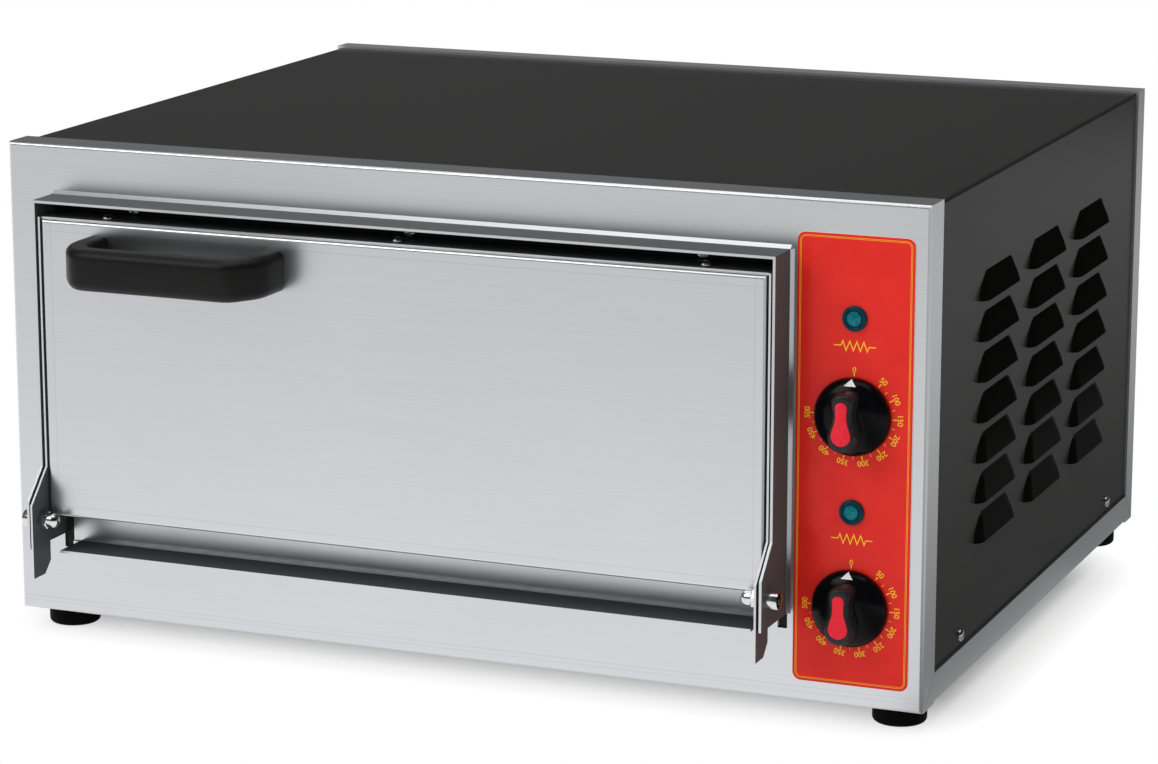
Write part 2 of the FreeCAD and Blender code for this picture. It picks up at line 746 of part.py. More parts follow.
# Places of the heating elements' runs and of the thermostats' sensing bulbs.
element_span = chamber_depth - s.element_front_gap - s.element_rear_gap
run_places = [chamber_front + s.element_front_gap + element_span * step / (element_runs - 1)
              for step in range(element_runs)]
upper_element_z = chamber_roof - s.upper_element_drop
lower_element_z = s.chamber_floor + s.chamber_gauge + s.lower_element_lift
tail_places = [(y, z) for z in (upper_element_z, lower_element_z) for y in (run_places[0], run_places[-1])]
element_hole = s.element_diameter + 2 * s.element_fit
wall_length = bay_x - chamber_right + 2 * s.overrun
thermostat_back = mouth_front + s.thermostat_depth
bulb_y = thermostat_back + s.capillary_run
bulb_places = (upper_knob_z + s.capillary_lift, s.lower_knob_z + s.capillary_lift)
wall_bores = group(*[rod((chamber_right - s.overrun, y, z), TO_RIGHT,
                         s.bushing_diameter + 2 * s.thread_clearance, wall_length) for y, z in tail_places],
                   *[rod((chamber_right - s.overrun, bulb_y, z), TO_RIGHT, s.capillary_hole, wall_length)
                     for z in bulb_places])

# Baking chamber: a folded steel box, open in front, with a lip behind the mouth frame.
chamber_outer = block((chamber_left - s.chamber_gauge, chamber_front, s.chamber_floor),
                      (chamber_right + s.chamber_gauge, chamber_back, chamber_roof + s.chamber_gauge))
chamber_lip = block(
    (chamber_left - s.chamber_gauge - s.chamber_lip, chamber_front, s.chamber_lip_low),
    (chamber_right + s.chamber_gauge + s.chamber_lip, chamber_front + s.chamber_gauge,
     opening_top - s.chamber_lip_drop))
chamber_space = block((chamber_left, chamber_front - s.overrun, s.chamber_floor + s.chamber_gauge),
                      (chamber_right, chamber_back - s.chamber_gauge, chamber_roof))
lip_bores = group(*[rod((x, chamber_front - s.overrun, mouth_screw_z), TO_BACK, small_hole,
                        s.screw_length + s.overrun) for x in mouth_screw_places])
node("chamber_shell", cut(fuse(chamber_outer, chamber_lip), chamber_space, wall_bores, lip_bores))

# Two folded channels carry the chamber above the base.
lip_back = chamber_front + s.chamber_gauge
support_left = chamber_left + s.support_end_gap
support_right = chamber_right - s.support_end_gap
support_starts = (chamber_front + s.support_inset, chamber_back - s.support_inset - s.support_depth)
supports = []
for start in support_starts:
    supports.append(cut(
        block((support_left, start, floor_top), (support_right, start + s.support_depth, s.chamber_floor)),
        block((support_left - s.overrun, start + s.base_gauge, floor_top + s.base_gauge),
              (support_right + s.overrun, start + s.support_depth - s.base_gauge,
               s.chamber_floor - s.base_gauge))))
node("chamber_supports", group(*supports))

# Baking stone on two angle rails.
rail_low = s.chamber_floor + s.chamber_gauge
stone_low = rail_low + s.rail_height
stone_start = chamber_front + s.stone_front_gap
stone_end = chamber_back - s.chamber_gauge - s.stone_rear_gap
left_rail = fuse(
    block((chamber_left, stone_start, rail_low), (chamber_left + s.rail_gauge, stone_end, stone_low)),
    block((chamber_left, stone_start, stone_low - s.rail_gauge),
          (chamber_left + s.rail_width, stone_end, stone_low)))
right_rail = fuse(
    block((chamber_right - s.rail_gauge, stone_start, rail_low), (chamber_right, stone_end, stone_low)),
    block((chamber_right - s.rail_width, stone_start, stone_low - s.rail_gauge),
          (chamber_right, stone_end, stone_low)))
node("stone_rails", group(left_rail, cut(right_rail, wall_bores)))
node("baking_stone", block((chamber_left + s.stone_side_gap, stone_start, stone_low),
                           (chamber_right - s.stone_side_gap, stone_end, stone_low + s.stone_thickness)))


# Heating elements: one bent tube above and one below the stone, their tails in the bay.
def element(z):
    left = chamber_left + s.element_side_gap
    right = chamber_right - s.element_side_gap
    tail = bay_x + s.element_tail
    points = [(tail, run_places[0], z)]
    for step in range(element_runs - 1):
        side = left if step % 2 == 0 else right
        points += [(side, run_places[step], z), (side, run_places[step + 1], z)]
    points.append((tail, run_places[-1], z))
    return shaped(tube(points, s.element_diameter, s.element_bend))


def comb(low, high, z):
    """Two upright strips, drilled for every run of an element."""
    strips = []
    spacing = (chamber_right - chamber_left) / 2 - s.hanger_inset
    bores = group(*[rod((door_x - spacing - s.overrun, y, z), TO_RIGHT, element_hole,
                        2 * spacing + 2 * s.overrun) for y in run_places])
    for x in mirrored_x(door_x, spacing):
        strip = block((x - s.hanger_gauge / 2, run_places[0] - s.hanger_margin, low),
                      (x + s.hanger_gauge / 2, run_places[-1] + s.hanger_margin, high))
        strips.append(cut(strip, bores))
    return group(*strips)


node("upper_element", element(upper_element_z))
node("lower_element", element(lower_element_z))
node("upper_element_hangers", comb(upper_element_z - s.hanger_edge, chamber_roof, upper_element_z))
node("lower_element_saddles", comb(rail_low, lower_element_z + s.hanger_edge, lower_element_z))
bushings = []
for y, z in tail_places:
    sleeve = fuse(rod((chamber_right, y, z), TO_RIGHT, s.bushing_diameter,
                      bay_x - chamber_right + s.bushing_length),
                  rod((bay_x, y, z), TO_RIGHT, s.bushing_collar, s.bushing_collar_length))
    bushings.append(cut(sleeve, rod((chamber_right - s.overrun, y, z), TO_RIGHT, element_hole,
                                    bay_x - chamber_right + s.bushing_length + 2 * s.overrun)))
node("element_bushings", group(*bushings))

# Mineral wool round the chamber.
wool_top = chamber_roof + s.chamber_gauge
wool_left = chamber_left - s.chamber_gauge
wool_right = chamber_right + s.chamber_gauge
node("insulation_top", cut(
    block((wool_left, lip_back, wool_top), (wool_right, chamber_back, wool_top + s.top_wool)), lip_bores))
node("insulation_left", block((wool_left - s.left_wool, lip_back, s.chamber_floor),
                              (wool_left, chamber_back, wool_top)))
node("insulation_right", cut(
    block((wool_right, lip_back, s.chamber_floor), (partition_x, chamber_back, wool_top)), wall_bores))
node("insulation_rear", block((chamber_left, chamber_back, s.chamber_floor),
                              (chamber_right, chamber_back + s.rear_wool, wool_top)))
node("insulation_bottom", block((support_left, support_starts[0] + s.support_depth + s.wool_gap, floor_top),
                                (support_right, support_starts[1] - s.wool_gap, s.chamber_floor)))

# Partition between the hot side and the control bay, standing on the base by a folded foot.
partition_end = rear - gauge - s.base_gauge - s.wool_gap
partition = fuse(
    block((partition_x, lip_back, floor_top), (bay_x, partition_end, cover_top - s.cover_gauge - s.wool_gap)),
    block((partition_x, lip_back, floor_top),
          (bay_x + s.partition_foot, partition_end, floor_top + s.partition_gauge)))
node("bay_partition", cut(partition, wall_bores))

# Door skin: a shallow brushed pan with the handle's and the top screws' holes.
skin = s.door_skin_gauge
door_left = opening_left + s.door_side_gap
door_right = opening_right - s.door_side_gap
skin_pan = cut(
    block((door_left, door_front, s.door_bottom), (door_right, door_front + s.door_skin_depth, door_top)),
    block((door_left + skin, door_front + skin, s.door_bottom + skin),
          (door_right - skin, door_front + s.door_skin_depth + s.overrun, door_top - skin)))
door_screw_places = (door_left + s.door_screw_inset, door_x, door_right - s.door_screw_inset)
door_screw_y = door_front + s.door_screw_setback
pan_high = door_top + s.pan_gauge
door_screw_bores = group(*[rod((x, door_screw_y, pan_high - s.screw_length - s.wool_gap), UPRIGHT, small_hole,
                               s.screw_length + s.wool_gap + s.overrun) for x in door_screw_places])
handle_x = door_left + s.handle_inset
handle_z = door_top - s.handle_drop
handle_screw_places = mirrored_x(handle_x, s.handle_width / 2 - s.handle_leg / 2)
handle_bores = group(*[rod((x, door_front - s.handle_screw_depth, handle_z), TO_BACK,
                           s.handle_screw_diameter + 2 * s.thread_clearance, s.handle_screw_depth + s.overrun)
                       for x in handle_screw_places])
door_skin = cut(skin_pan, door_screw_bores, handle_bores)
door_skin = rounded(door_skin, s.bend_radius, lambda middle, along: same(middle.y, door_front) and (
    same(middle.x, door_left) or same(middle.x, door_right)
    or same(middle.z, s.door_bottom) or same(middle.z, door_top)))
node("door_skin", door_skin)

# Door inner pan: back plate, a flange inside the skin below, and flanges over it at the top and
# beside it, where they reach forwards as hinge arms. The tails below the pivots stop the door.
pan_low = s.door_bottom + s.pan_bottom_rise
pan_left = opening_left + s.pan_side_gap
pan_right = opening_right - s.pan_side_gap
pan_edge = door_front + s.pan_front_gap
arm_front = front - s.arm_reach
tail_back = arm_front + s.arm_tail_width
tail_low = pivot_z - s.arm_tail_length
arm_outline = [(pan_back, pan_low), (pan_back, pan_high), (pan_edge, pan_high), (pan_edge, s.arm_top),
               (arm_front, s.arm_shoulder), (arm_front, tail_low), (tail_back - s.arm_bevel, tail_low),
               (tail_back, tail_low + s.arm_bevel), (tail_back, s.arm_waist)]
inner_left = door_left + skin + s.pan_fit
inner_right = door_right - skin - s.pan_fit
inner_pan = fuse(
    block((pan_left, pan_back - s.pan_gauge, pan_low), (pan_right, pan_back, pan_high)),
    block((pan_left, door_front + s.pan_top_setback, door_top), (pan_right, pan_back, pan_high)),
    block((inner_left, pan_back - s.pan_flange, pan_low), (inner_right, pan_back, pan_low + s.pan_gauge)),
    prism("YZ", arm_outline, pan_left, pan_left + s.pan_gauge),
    prism("YZ", arm_outline, pan_right - s.pan_gauge, pan_right))
arm_bores = rod((pan_left - s.overrun, pivot_y, pivot_z), TO_RIGHT,
                s.pivot_diameter + 2 * s.pivot_clearance, pan_width + 2 * s.overrun)
node("door_inner_pan", cut(inner_pan, arm_bores, door_screw_bores))

# Door insulation, top screws, handle and its screws.
handle_heads = group(*[rod((x, door_front + skin, handle_z), TO_BACK, s.handle_head_diameter + s.wool_gap,
                           s.handle_head_height + s.wool_gap) for x in handle_screw_places])
door_wool = block((inner_left, door_front + skin, pan_low + s.pan_gauge + s.wool_gap),
                  (inner_right, pan_back - s.pan_gauge, door_top - skin - s.wool_gap))
node("door_insulation", cut(door_wool, handle_heads, door_screw_bores))
node("door_top_screws", group(*[small_screw(x, door_screw_y, pan_high, UPRIGHT, DOWN)
                                for x in door_screw_places]))
handle_low = handle_z - s.handle_height / 2
handle_high = handle_z + s.handle_height / 2
handle_left = handle_x - s.handle_width / 2
handle_right = handle_x + s.handle_width / 2
handle_front = door_front - s.handle_reach
bevel_start = handle_front + s.handle_bevel
palm_front = handle_front + s.handle_grip
bow = prism("XY", [(handle_left, door_front), (handle_left, bevel_start),
                   (handle_x - s.handle_front_width / 2, handle_front),
                   (handle_x + s.handle_front_width / 2, handle_front),
                   (handle_right, bevel_start), (handle_right, door_front)], handle_low, handle_high)
palm = block((handle_left + s.handle_leg, palm_front, handle_low - s.overrun),
             (handle_right - s.handle_leg, door_front + s.overrun, handle_high + s.overrun))
handle = rounded(cut(bow, palm), s.handle_corner, lambda middle, along: (
    abs(along.z) > 0.9 and (same(middle.y, bevel_start) or same(middle.y, handle_front))))
handle = rounded(handle, s.handle_palm_corner, lambda middle, along: (
    abs(along.z) > 0.9 and same(middle.y, palm_front)))
handle = rounded(handle, s.handle_round, lambda middle, along: (
    (same(middle.z, handle_low) or same(middle.z, handle_high)) and not same(middle.y, door_front)))
node("door_handle", cut(handle, handle_bores))
node("handle_screws", group(*[fuse(
    rod((x, door_front + skin, handle_z), TO_BACK, s.handle_head_diameter, s.handle_head_height),
    rod((x, door_front + skin, handle_z), TO_FRONT, s.handle_screw_diameter, s.handle_screw_depth + skin))
    for x in handle_screw_places]))

# Hinge: a bolt through each ear, a washer between ear and arm, and a domed nut inside.
arm_gap = pan_width / 2 - s.pan_gauge - s.hinge_side_gap
washer_start = pan_width / 2 + s.hinge_side_gap
ear_inner = opening_width / 2 - gauge
ear_outer = opening_width / 2
nut_bore = s.pivot_diameter + 2 * s.thread_clearance
bolts = []
washers = []
nuts = []
for side, outward, inward in ((1, TO_RIGHT, TO_LEFT), (-1, TO_LEFT, TO_RIGHT)):
    head_at = (door_x + side * ear_outer, pivot_y, pivot_z)
    nut_at = (door_x + side * arm_gap, pivot_y, pivot_z)
    dome_x = door_x + side * (arm_gap - s.nut_height + s.nut_dome_diameter / 2)
    bolts.append(fuse(rod(head_at, outward, s.hinge_head_diameter, s.hinge_head_height),
                      rod(head_at, inward, s.pivot_diameter, ear_outer - arm_gap + s.nut_hex_height)))
    ring_at = (door_x + side * washer_start, pivot_y, pivot_z)
    washers.append(cut(rod(ring_at, outward, s.hinge_washer_diameter, ear_inner - washer_start),
                       rod(ring_at, outward, nut_bore, s.overrun)))
    dome = fuse(hexagon(nut_at, inward, s.nut_corners, s.nut_hex_height),
                rod(nut_at, inward, s.nut_dome_diameter, s.nut_height - s.nut_dome_diameter / 2),
                ball((dome_x, pivot_y, pivot_z), s.nut_dome_diameter))
    nuts.append(cut(dome, rod((door_x + side * (arm_gap + s.overrun), pivot_y, pivot_z), inward, nut_bore,
                              s.nut_hex_height + s.overrun)))
node("hinge_bolts", group(*bolts))
node("hinge_washers", group(*washers))
node("hinge_nuts", group(*nuts))

# Control label: a thin printed plate on the fascia.
label_left = control_x - s.label_width / 2
label_right = control_x + s.label_width / 2
label_high = s.body_height - s.label_top_margin
label_plate = rounded(block((label_left, label_front, s.label_low), (label_right, front, label_high)),
                      s.label_corner, lambda middle, along: abs(along.y) > 0.9)
node("control_label", cut(label_plate, control_bore_group))


def grip_outline(z, margin):
    """An hourglass bar, wide below and narrow above the knob's axis, drawn in by a margin."""
    half_length = s.grip_length / 2 - margin
    wide = s.grip_wide / 2 - margin
    waist = s.grip_waist / 2 - margin
    narrow = s.grip_narrow / 2 - margin
    right_side = [(wide * grip_end_share, -half_length), (wide, -half_length * grip_shoulder_share),
                  (waist, half_length * grip_waist_share), (narrow, half_length * grip_shoulder_share),
                  (narrow * grip_end_share, half_length)]
    left_side = [(-across, along) for across, along in reversed(right_side)]
    return [(control_x + across, z + along) for across, along in right_side + left_side]


# Two thermostats behind the fascia, each with its shaft, knob, pilot lamp and sensing bulb.
knob_back = label_front - s.knob_gap
grip_top = knob_back - s.grip_rise
shaft_end = front - s.shaft_reach
for level, knob_z, lamp_z, bulb_z in (("upper", upper_knob_z, upper_lamp_z, bulb_places[0]),
                                      ("lower", s.lower_knob_z, lower_lamp_z, bulb_places[1])):
    bush_tip = (control_x, front - s.bush_reach, knob_z)
    case = fuse(block((control_x - s.thermostat_width / 2, mouth_front, knob_z - s.thermostat_height / 2),
                      (control_x + s.thermostat_width / 2, thermostat_back, knob_z + s.thermostat_height / 2)),
                rod(bush_tip, TO_BACK, s.bush_diameter, s.bush_reach + gauge))
    node(level + "_thermostat", cut(case, rod(bush_tip, TO_BACK, s.shaft_diameter + 2 * s.shaft_fit,
                                              s.bush_reach + gauge + s.shaft_depth + s.wool_gap)))
    bush_nut = hexagon((control_x, label_front, knob_z), TO_FRONT, s.bush_nut_corners, s.bush_nut_height)
    node(level + "_bush_nut", cut(bush_nut, rod((control_x, label_front, knob_z), TO_FRONT,
                                                s.bush_diameter + 2 * s.thread_clearance, s.overrun)))
    node(level + "_shaft", rod((control_x, shaft_end, knob_z), TO_BACK, s.shaft_diameter,
                               s.shaft_reach + gauge + s.shaft_depth))
    knob_at = (control_x, knob_back, knob_z)
    knob = fuse(rod(knob_at, TO_FRONT, s.knob_diameter, s.knob_rim),
                taper((control_x, knob_back - s.knob_rim, knob_z), TO_FRONT, s.knob_diameter,
                      s.knob_top_diameter, s.knob_dome),
                prism("XZ", grip_outline(knob_z, 0 * s.insert_margin), grip_top, knob_back - s.knob_rim))
    node(level + "_knob", cut(
        knob, rod(knob_at, TO_FRONT, s.bush_recess, s.bush_recess_depth),
        rod(knob_at, TO_FRONT, s.shaft_diameter + 2 * s.shaft_fit, knob_back - shaft_end)))
    node(level + "_knob_insert", prism("XZ", grip_outline(knob_z, s.insert_margin),
                                       grip_top - s.insert_thickness, grip_top))
    lamp_at = (control_x, label_front, lamp_z)
    node(level + "_pilot_lens", fuse(
        rod(lamp_at, TO_FRONT, s.lamp_diameter, s.lamp_rise / 2),
        taper((control_x, label_front - s.lamp_rise / 2, lamp_z), TO_FRONT, s.lamp_diameter,
              s.lamp_barrel_diameter, s.lamp_rise / 2)))
    node(level + "_pilot_lamp", fuse(
        rod(lamp_at, TO_BACK, s.lamp_barrel_diameter, s.lamp_barrel_length),
        rod((control_x, mouth_front, lamp_z), TO_BACK, s.lamp_nut_diameter, s.lamp_nut_height)))
    bulb_x = chamber_right - s.bulb_wall_gap - s.bulb_diameter / 2 - s.rail_gauge
    bulb_start = bulb_y + 2 * s.capillary_bend
    line = tube([(control_x, thermostat_back, bulb_z), (control_x, bulb_y, bulb_z),
                 (bulb_x, bulb_y, bulb_z), (bulb_x, bulb_start + s.bulb_diameter, bulb_z)],
                s.capillary_diameter, s.capillary_bend)
    node(level + "_sensing_bulb", fuse(shaped(line), rod((bulb_x, bulb_start, bulb_z), TO_BACK, s.bulb_diameter,
                                                         s.bulb_length)))

# Mains entry: terminal block on the base and a threaded gland in the rear panel.
terminal_start = rear - s.terminal_inset
node("terminal_block", block(
    (control_x - s.terminal_width / 2, terminal_start, floor_top),
    (control_x + s.terminal_width / 2, terminal_start + s.terminal_length, floor_top + s.terminal_height)))
gland_start = rear - gauge - s.gland_nut_height - s.gland_tail
gland_length = gauge + s.gland_nut_height + s.gland_tail
gland = fuse(rod((gland_x, gland_start, s.gland_z), TO_BACK, s.gland_thread, gland_length),
             hexagon((gland_x, rear, s.gland_z), TO_BACK, s.gland_hex, s.gland_hex_height),
             taper((gland_x, rear + s.gland_hex_height, s.gland_z), TO_BACK, s.gland_cap_diameter,
                   s.gland_cap_end, s.gland_cap_height))
node("cable_gland", cut(gland, rod((gland_x, gland_start - s.overrun, s.gland_z), TO_BACK, s.gland_bore,
                                   gland_length + s.gland_hex_height + s.gland_cap_height + 2 * s.overrun)))
gland_nut = hexagon((gland_x, rear - gauge, s.gland_z), TO_FRONT, s.gland_hex, s.gland_nut_height)
node("gland_nut", cut(gland_nut, rod((gland_x, rear, s.gland_z), TO_FRONT,
                                     s.gland_thread + 2 * s.thread_clearance, s.gland_nut_height + s.overrun)))

doc.recompute()
failed = [item.Label for item in doc.Objects if "Invalid" in item.State or "Error" in item.State]
for item in nodes:
    if item.Shape.isNull() or not item.Shape.isValid() or not item.Shape.Solids:
        failed.append(item.Label)
if failed:
    raise RuntimeError("These did not build: " + ", ".join(failed))

os.makedirs("parts", exist_ok=True)
for item in nodes:
    item.Shape.exportStep("parts/" + item.Label + ".step")
    print("%-24s %3d solids %12.1f mm3" % (item.Label, len(item.Shape.Solids), item.Shape.Volume))
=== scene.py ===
import bmesh
import bpy
import math
from mathutils import Euler, Matrix, Vector


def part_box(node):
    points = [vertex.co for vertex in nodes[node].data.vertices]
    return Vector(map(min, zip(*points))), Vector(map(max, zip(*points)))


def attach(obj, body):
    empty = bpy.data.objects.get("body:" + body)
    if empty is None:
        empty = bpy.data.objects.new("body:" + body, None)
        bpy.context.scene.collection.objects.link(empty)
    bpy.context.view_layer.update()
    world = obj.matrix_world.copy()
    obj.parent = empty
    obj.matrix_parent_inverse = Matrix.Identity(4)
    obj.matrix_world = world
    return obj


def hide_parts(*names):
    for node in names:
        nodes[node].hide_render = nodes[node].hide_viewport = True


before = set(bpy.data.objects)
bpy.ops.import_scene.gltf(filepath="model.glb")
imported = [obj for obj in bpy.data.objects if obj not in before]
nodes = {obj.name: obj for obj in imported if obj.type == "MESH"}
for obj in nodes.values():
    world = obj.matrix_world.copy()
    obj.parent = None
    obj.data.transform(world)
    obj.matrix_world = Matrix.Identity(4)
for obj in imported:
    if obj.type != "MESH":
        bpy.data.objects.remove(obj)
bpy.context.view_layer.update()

# Folded stainless casing: front fascia with its collar and hinge ears, rear panel, base pan
# with the strips below the cover, and the plate behind the mouth. Brushed along the width,
# then folded, so the bends keep a faint tool line.
STEEL = (0.675, 0.690, 0.712), (0.715, 0.731, 0.753)
# The base pan's steel is a darker, bluer copy of the casing's steel: painted shade on the strips
# below the cover.
SHADED_BASE_STEEL = (0.600, 0.655, 0.678), (0.640, 0.698, 0.722)
# Dark grey painted shade for steel faces that look sideways or up; those faces are also duller and
# rougher.
PAINTED_SHADE_GREY = (0.072, 0.083, 0.084)
# Black painted shade for the plate behind the mouth, in the gaps round the door.
PAINTED_SHADE_BLACK = (0.012, 0.012, 0.012)
BRUSH_ALONG = 14.0
BRUSH_BETWEEN = 700.0
BRUSH_ACROSS = 2600.0
TOOL_LINE = 0.0003
DULL_ROUGHER = 0.18
DULL_METAL = 0.05
COLLAR_START = -0.2090
MOUTH_MIDDLE = -0.02545
MOUTH_HALF = 0.2245
PAINTED_SHADE_LINE = 0.2535
MIX_SHARE, MIX_FIRST, MIX_SECOND, MIX_COLOUR = 0, 6, 7, 2


def new_finish(name):
    """An empty finish: material, node tree, shader and the piece's own coordinates."""
    made_finish = bpy.data.materials.new(name)
    made_finish.use_nodes = True
    tree = made_finish.node_tree
    place = tree.nodes.new("ShaderNodeTexCoord").outputs["Object"]
    return made_finish, tree, tree.nodes["Principled BSDF"], place


def stretched(tree, place, scale):
    """Coordinates with a scale of their own along each axis."""
    node = tree.nodes.new("ShaderNodeMapping")
    node.inputs["Scale"].default_value = scale
    tree.links.new(place, node.inputs["Vector"])
    return node.outputs["Vector"]


def grain_of(tree, place, scale, detail=3.0):
    """A grain of noise at the given coordinates."""
    node = tree.nodes.new("ShaderNodeTexNoise")
    node.inputs["Scale"].default_value = scale
    node.inputs["Detail"].default_value = detail
    tree.links.new(place, node.inputs["Vector"])
    return node.outputs["Fac"]


def ranged(tree, value, low, high, start=0.3, end=0.7):
    """A value taken from the range start to end into the range low to high, and held there."""
    node = tree.nodes.new("ShaderNodeMapRange")
    node.inputs["From Min"].default_value = start
    node.inputs["From Max"].default_value = end
    node.inputs["To Min"].default_value = low
    node.inputs["To Max"].default_value = high
    tree.links.new(value, node.inputs["Value"])
    return node.outputs["Result"]


def blended(tree, share, first, second, clamped=True):
    """The first colour turned into the second by a share; each is a colour or a socket."""
    node = tree.nodes.new("ShaderNodeMix")
    node.data_type = "RGBA"
    node.clamp_factor = clamped
    tree.links.new(share, node.inputs[MIX_SHARE])
    for socket, colour in ((MIX_FIRST, first), (MIX_SECOND, second)):
        if isinstance(colour, tuple):
            node.inputs[socket].default_value = (*colour, 1.0)
        else:
            tree.links.new(colour, node.inputs[socket])
    return node.outputs[MIX_COLOUR]


def relief(tree, shader, height, strength, depth):
    """Fine relief of the surface from a height."""
    node = tree.nodes.new("ShaderNodeBump")
    node.inputs["Strength"].default_value = strength
    node.inputs["Distance"].default_value = depth
    tree.links.new(height, node.inputs["Height"])
    tree.links.new(node.outputs["Normal"], shader.inputs["Normal"])


def grained(name, dark, light, rough, scale, stretch=(1, 1, 1), metallic=0.0, bump=0.1,
            depth=0.0002, specular=0.5):
    """A finish whose colour, gloss and relief follow one grain."""
    made_finish, tree, shader, place = new_finish(name)
    grain = grain_of(tree, stretched(tree, place, stretch), scale)
    colour = blended(tree, ranged(tree, grain, 0.0, 1.0), dark, light)
    tree.links.new(colour, shader.inputs["Base Color"])
    tree.links.new(ranged(tree, grain, *rough), shader.inputs["Roughness"])
    relief(tree, shader, grain, bump, depth)
    shader.inputs["Metallic"].default_value = metallic
    shader.inputs["Specular IOR Level"].default_value = specular
    return made_finish


def dress(finish, *names):
    """Gives the named solids one finish."""
    for name in names:
        nodes[name].data.materials.clear()
        nodes[name].data.materials.append(finish)


def worked(tree, operation, first, second=None, third=None):
    """One step of arithmetic on values or sockets."""
    node = tree.nodes.new("ShaderNodeMath")
    node.operation = operation
    for socket, value in zip(node.inputs, (first, second, third)):
        if isinstance(value, (int, float)):
            socket.default_value = value
        elif value is not None:
            tree.links.new(value, socket)
    return node.outputs[0]


def parts_of(tree, vector):
    """The X, Y and Z of a vector."""
    node = tree.nodes.new("ShaderNodeSeparateXYZ")
    tree.links.new(vector, node.inputs["Vector"])
    return node.outputs


def along_brushing(tree, at, facing_side):
    """Coordinates that run slowly along the brushing: across the front, back along the sides."""
    folded_back = worked(tree, "GREATER_THAN", worked(tree, "ABSOLUTE", facing_side["X"]), 0.7)
    rate = worked(tree, "MULTIPLY_ADD", folded_back, BRUSH_ALONG - BRUSH_BETWEEN, BRUSH_BETWEEN)
    node = tree.nodes.new("ShaderNodeCombineXYZ")
    for axis, factor in (("X", BRUSH_ALONG), ("Y", rate), ("Z", BRUSH_ACROSS)):
        tree.links.new(worked(tree, "MULTIPLY", at[axis], factor), node.inputs[axis])
    return node.outputs["Vector"]


def folded_steel(name, rough, lines=(), dull_and_shade_share=None, painted_shade_tone=PAINTED_SHADE_GREY, tones=STEEL,
                 metal=1.0):
    """Brushed steel with pressed tool lines; where the share given is one, it is duller and rougher
    and takes a dark grey tone that is painted shade.
    """
    made_finish, tree, shader, place = new_finish(name)
    at = parts_of(tree, place)
    facing_side = parts_of(tree, tree.nodes["Texture Coordinate"].outputs["Normal"])
    brush = grain_of(tree, along_brushing(tree, at, facing_side), 1.0)
    shade = ranged(tree, brush, 0.0, 1.0)
    height = brush
    for axis, value in lines:
        line = worked(tree, "COMPARE", at[axis], value, TOOL_LINE)
        shade = worked(tree, "MULTIPLY_ADD", line, -1.6, shade)
        height = worked(tree, "MULTIPLY_ADD", line, -1.5, height)
    colour = blended(tree, shade, *tones, clamped=False)
    satin = ranged(tree, grain_of(tree, place, 9.0, 1.0), *rough, 0.1, 0.9)
    shader.inputs["Metallic"].default_value = metal
    shader.inputs["Specular IOR Level"].default_value = 0.15
    if dull_and_shade_share is not None:
        dull_and_shade = dull_and_shade_share(tree, at, facing_side)
        colour = blended(tree, dull_and_shade, colour, painted_shade_tone)
        satin = worked(tree, "MULTIPLY_ADD", dull_and_shade, DULL_ROUGHER, satin)
        bare = worked(tree, "MULTIPLY_ADD", dull_and_shade, DULL_METAL - metal, metal)
        tree.links.new(bare, shader.inputs["Metallic"])
    tree.links.new(colour, shader.inputs["Base Color"])
    tree.links.new(satin, shader.inputs["Roughness"])
    relief(tree, shader, height, 0.06, 0.00003)
    return made_finish


# Masks for painted shade: where one, the steel is duller and rougher and its colour is the dark
# grey of painted shade.
def forward_folds(tree, at, facing_side):
    """One on the sides and tops of what stands in front of the fascia, zero on front edges."""
    ahead = worked(tree, "LESS_THAN", at["Y"], COLLAR_START)
    turned_away = worked(tree, "LESS_THAN", worked(tree, "ABSOLUTE", facing_side["Y"]), 0.6)
    return worked(tree, "MULTIPLY", ahead, turned_away)


def side_folds(tree, at, facing_side):
    """One on faces that look sideways or up, zero on front, back and sloping edges."""
    return worked(tree, "LESS_THAN", worked(tree, "ABSOLUTE", facing_side["Y"]), 0.5)


def painted_gap_shade(tree, at, facing_side):
    """One above the door and beyond the mouth's sides, where the plate is painted black as shade in
    the gaps round the door.
    """
    over_door = worked(tree, "GREATER_THAN", at["Z"], PAINTED_SHADE_LINE)
    off_middle = worked(tree, "ABSOLUTE", worked(tree, "SUBTRACT", at["X"], MOUTH_MIDDLE))
    return worked(tree, "MAXIMUM", over_door,
                  worked(tree, "GREATER_THAN", off_middle, MOUTH_HALF))


fascia_lines = [("Z", 0.0186), ("Z", 0.0212)]
dress(folded_steel("base_stainless", (0.28, 0.34), tones=SHADED_BASE_STEEL), "base_pan")
dress(folded_steel("rear_stainless", (0.38, 0.46)), "rear_panel")
# The sides and tops of the collar and ears, and the sides of the hinge arms, take painted shade.
dress(folded_steel("fascia_stainless", (0.28, 0.33), fascia_lines, forward_folds), "front_fascia")
dress(folded_steel("pan_stainless", (0.28, 0.36), (), side_folds, metal=0.68), "door_inner_pan")
# The plate behind the mouth is painted black above the door and beyond the mouth's sides, as shade
# in the gaps there.
dress(folded_steel("mouth_stainless", (0.28, 0.36), (), painted_gap_shade, PAINTED_SHADE_BLACK), "mouth_frame")

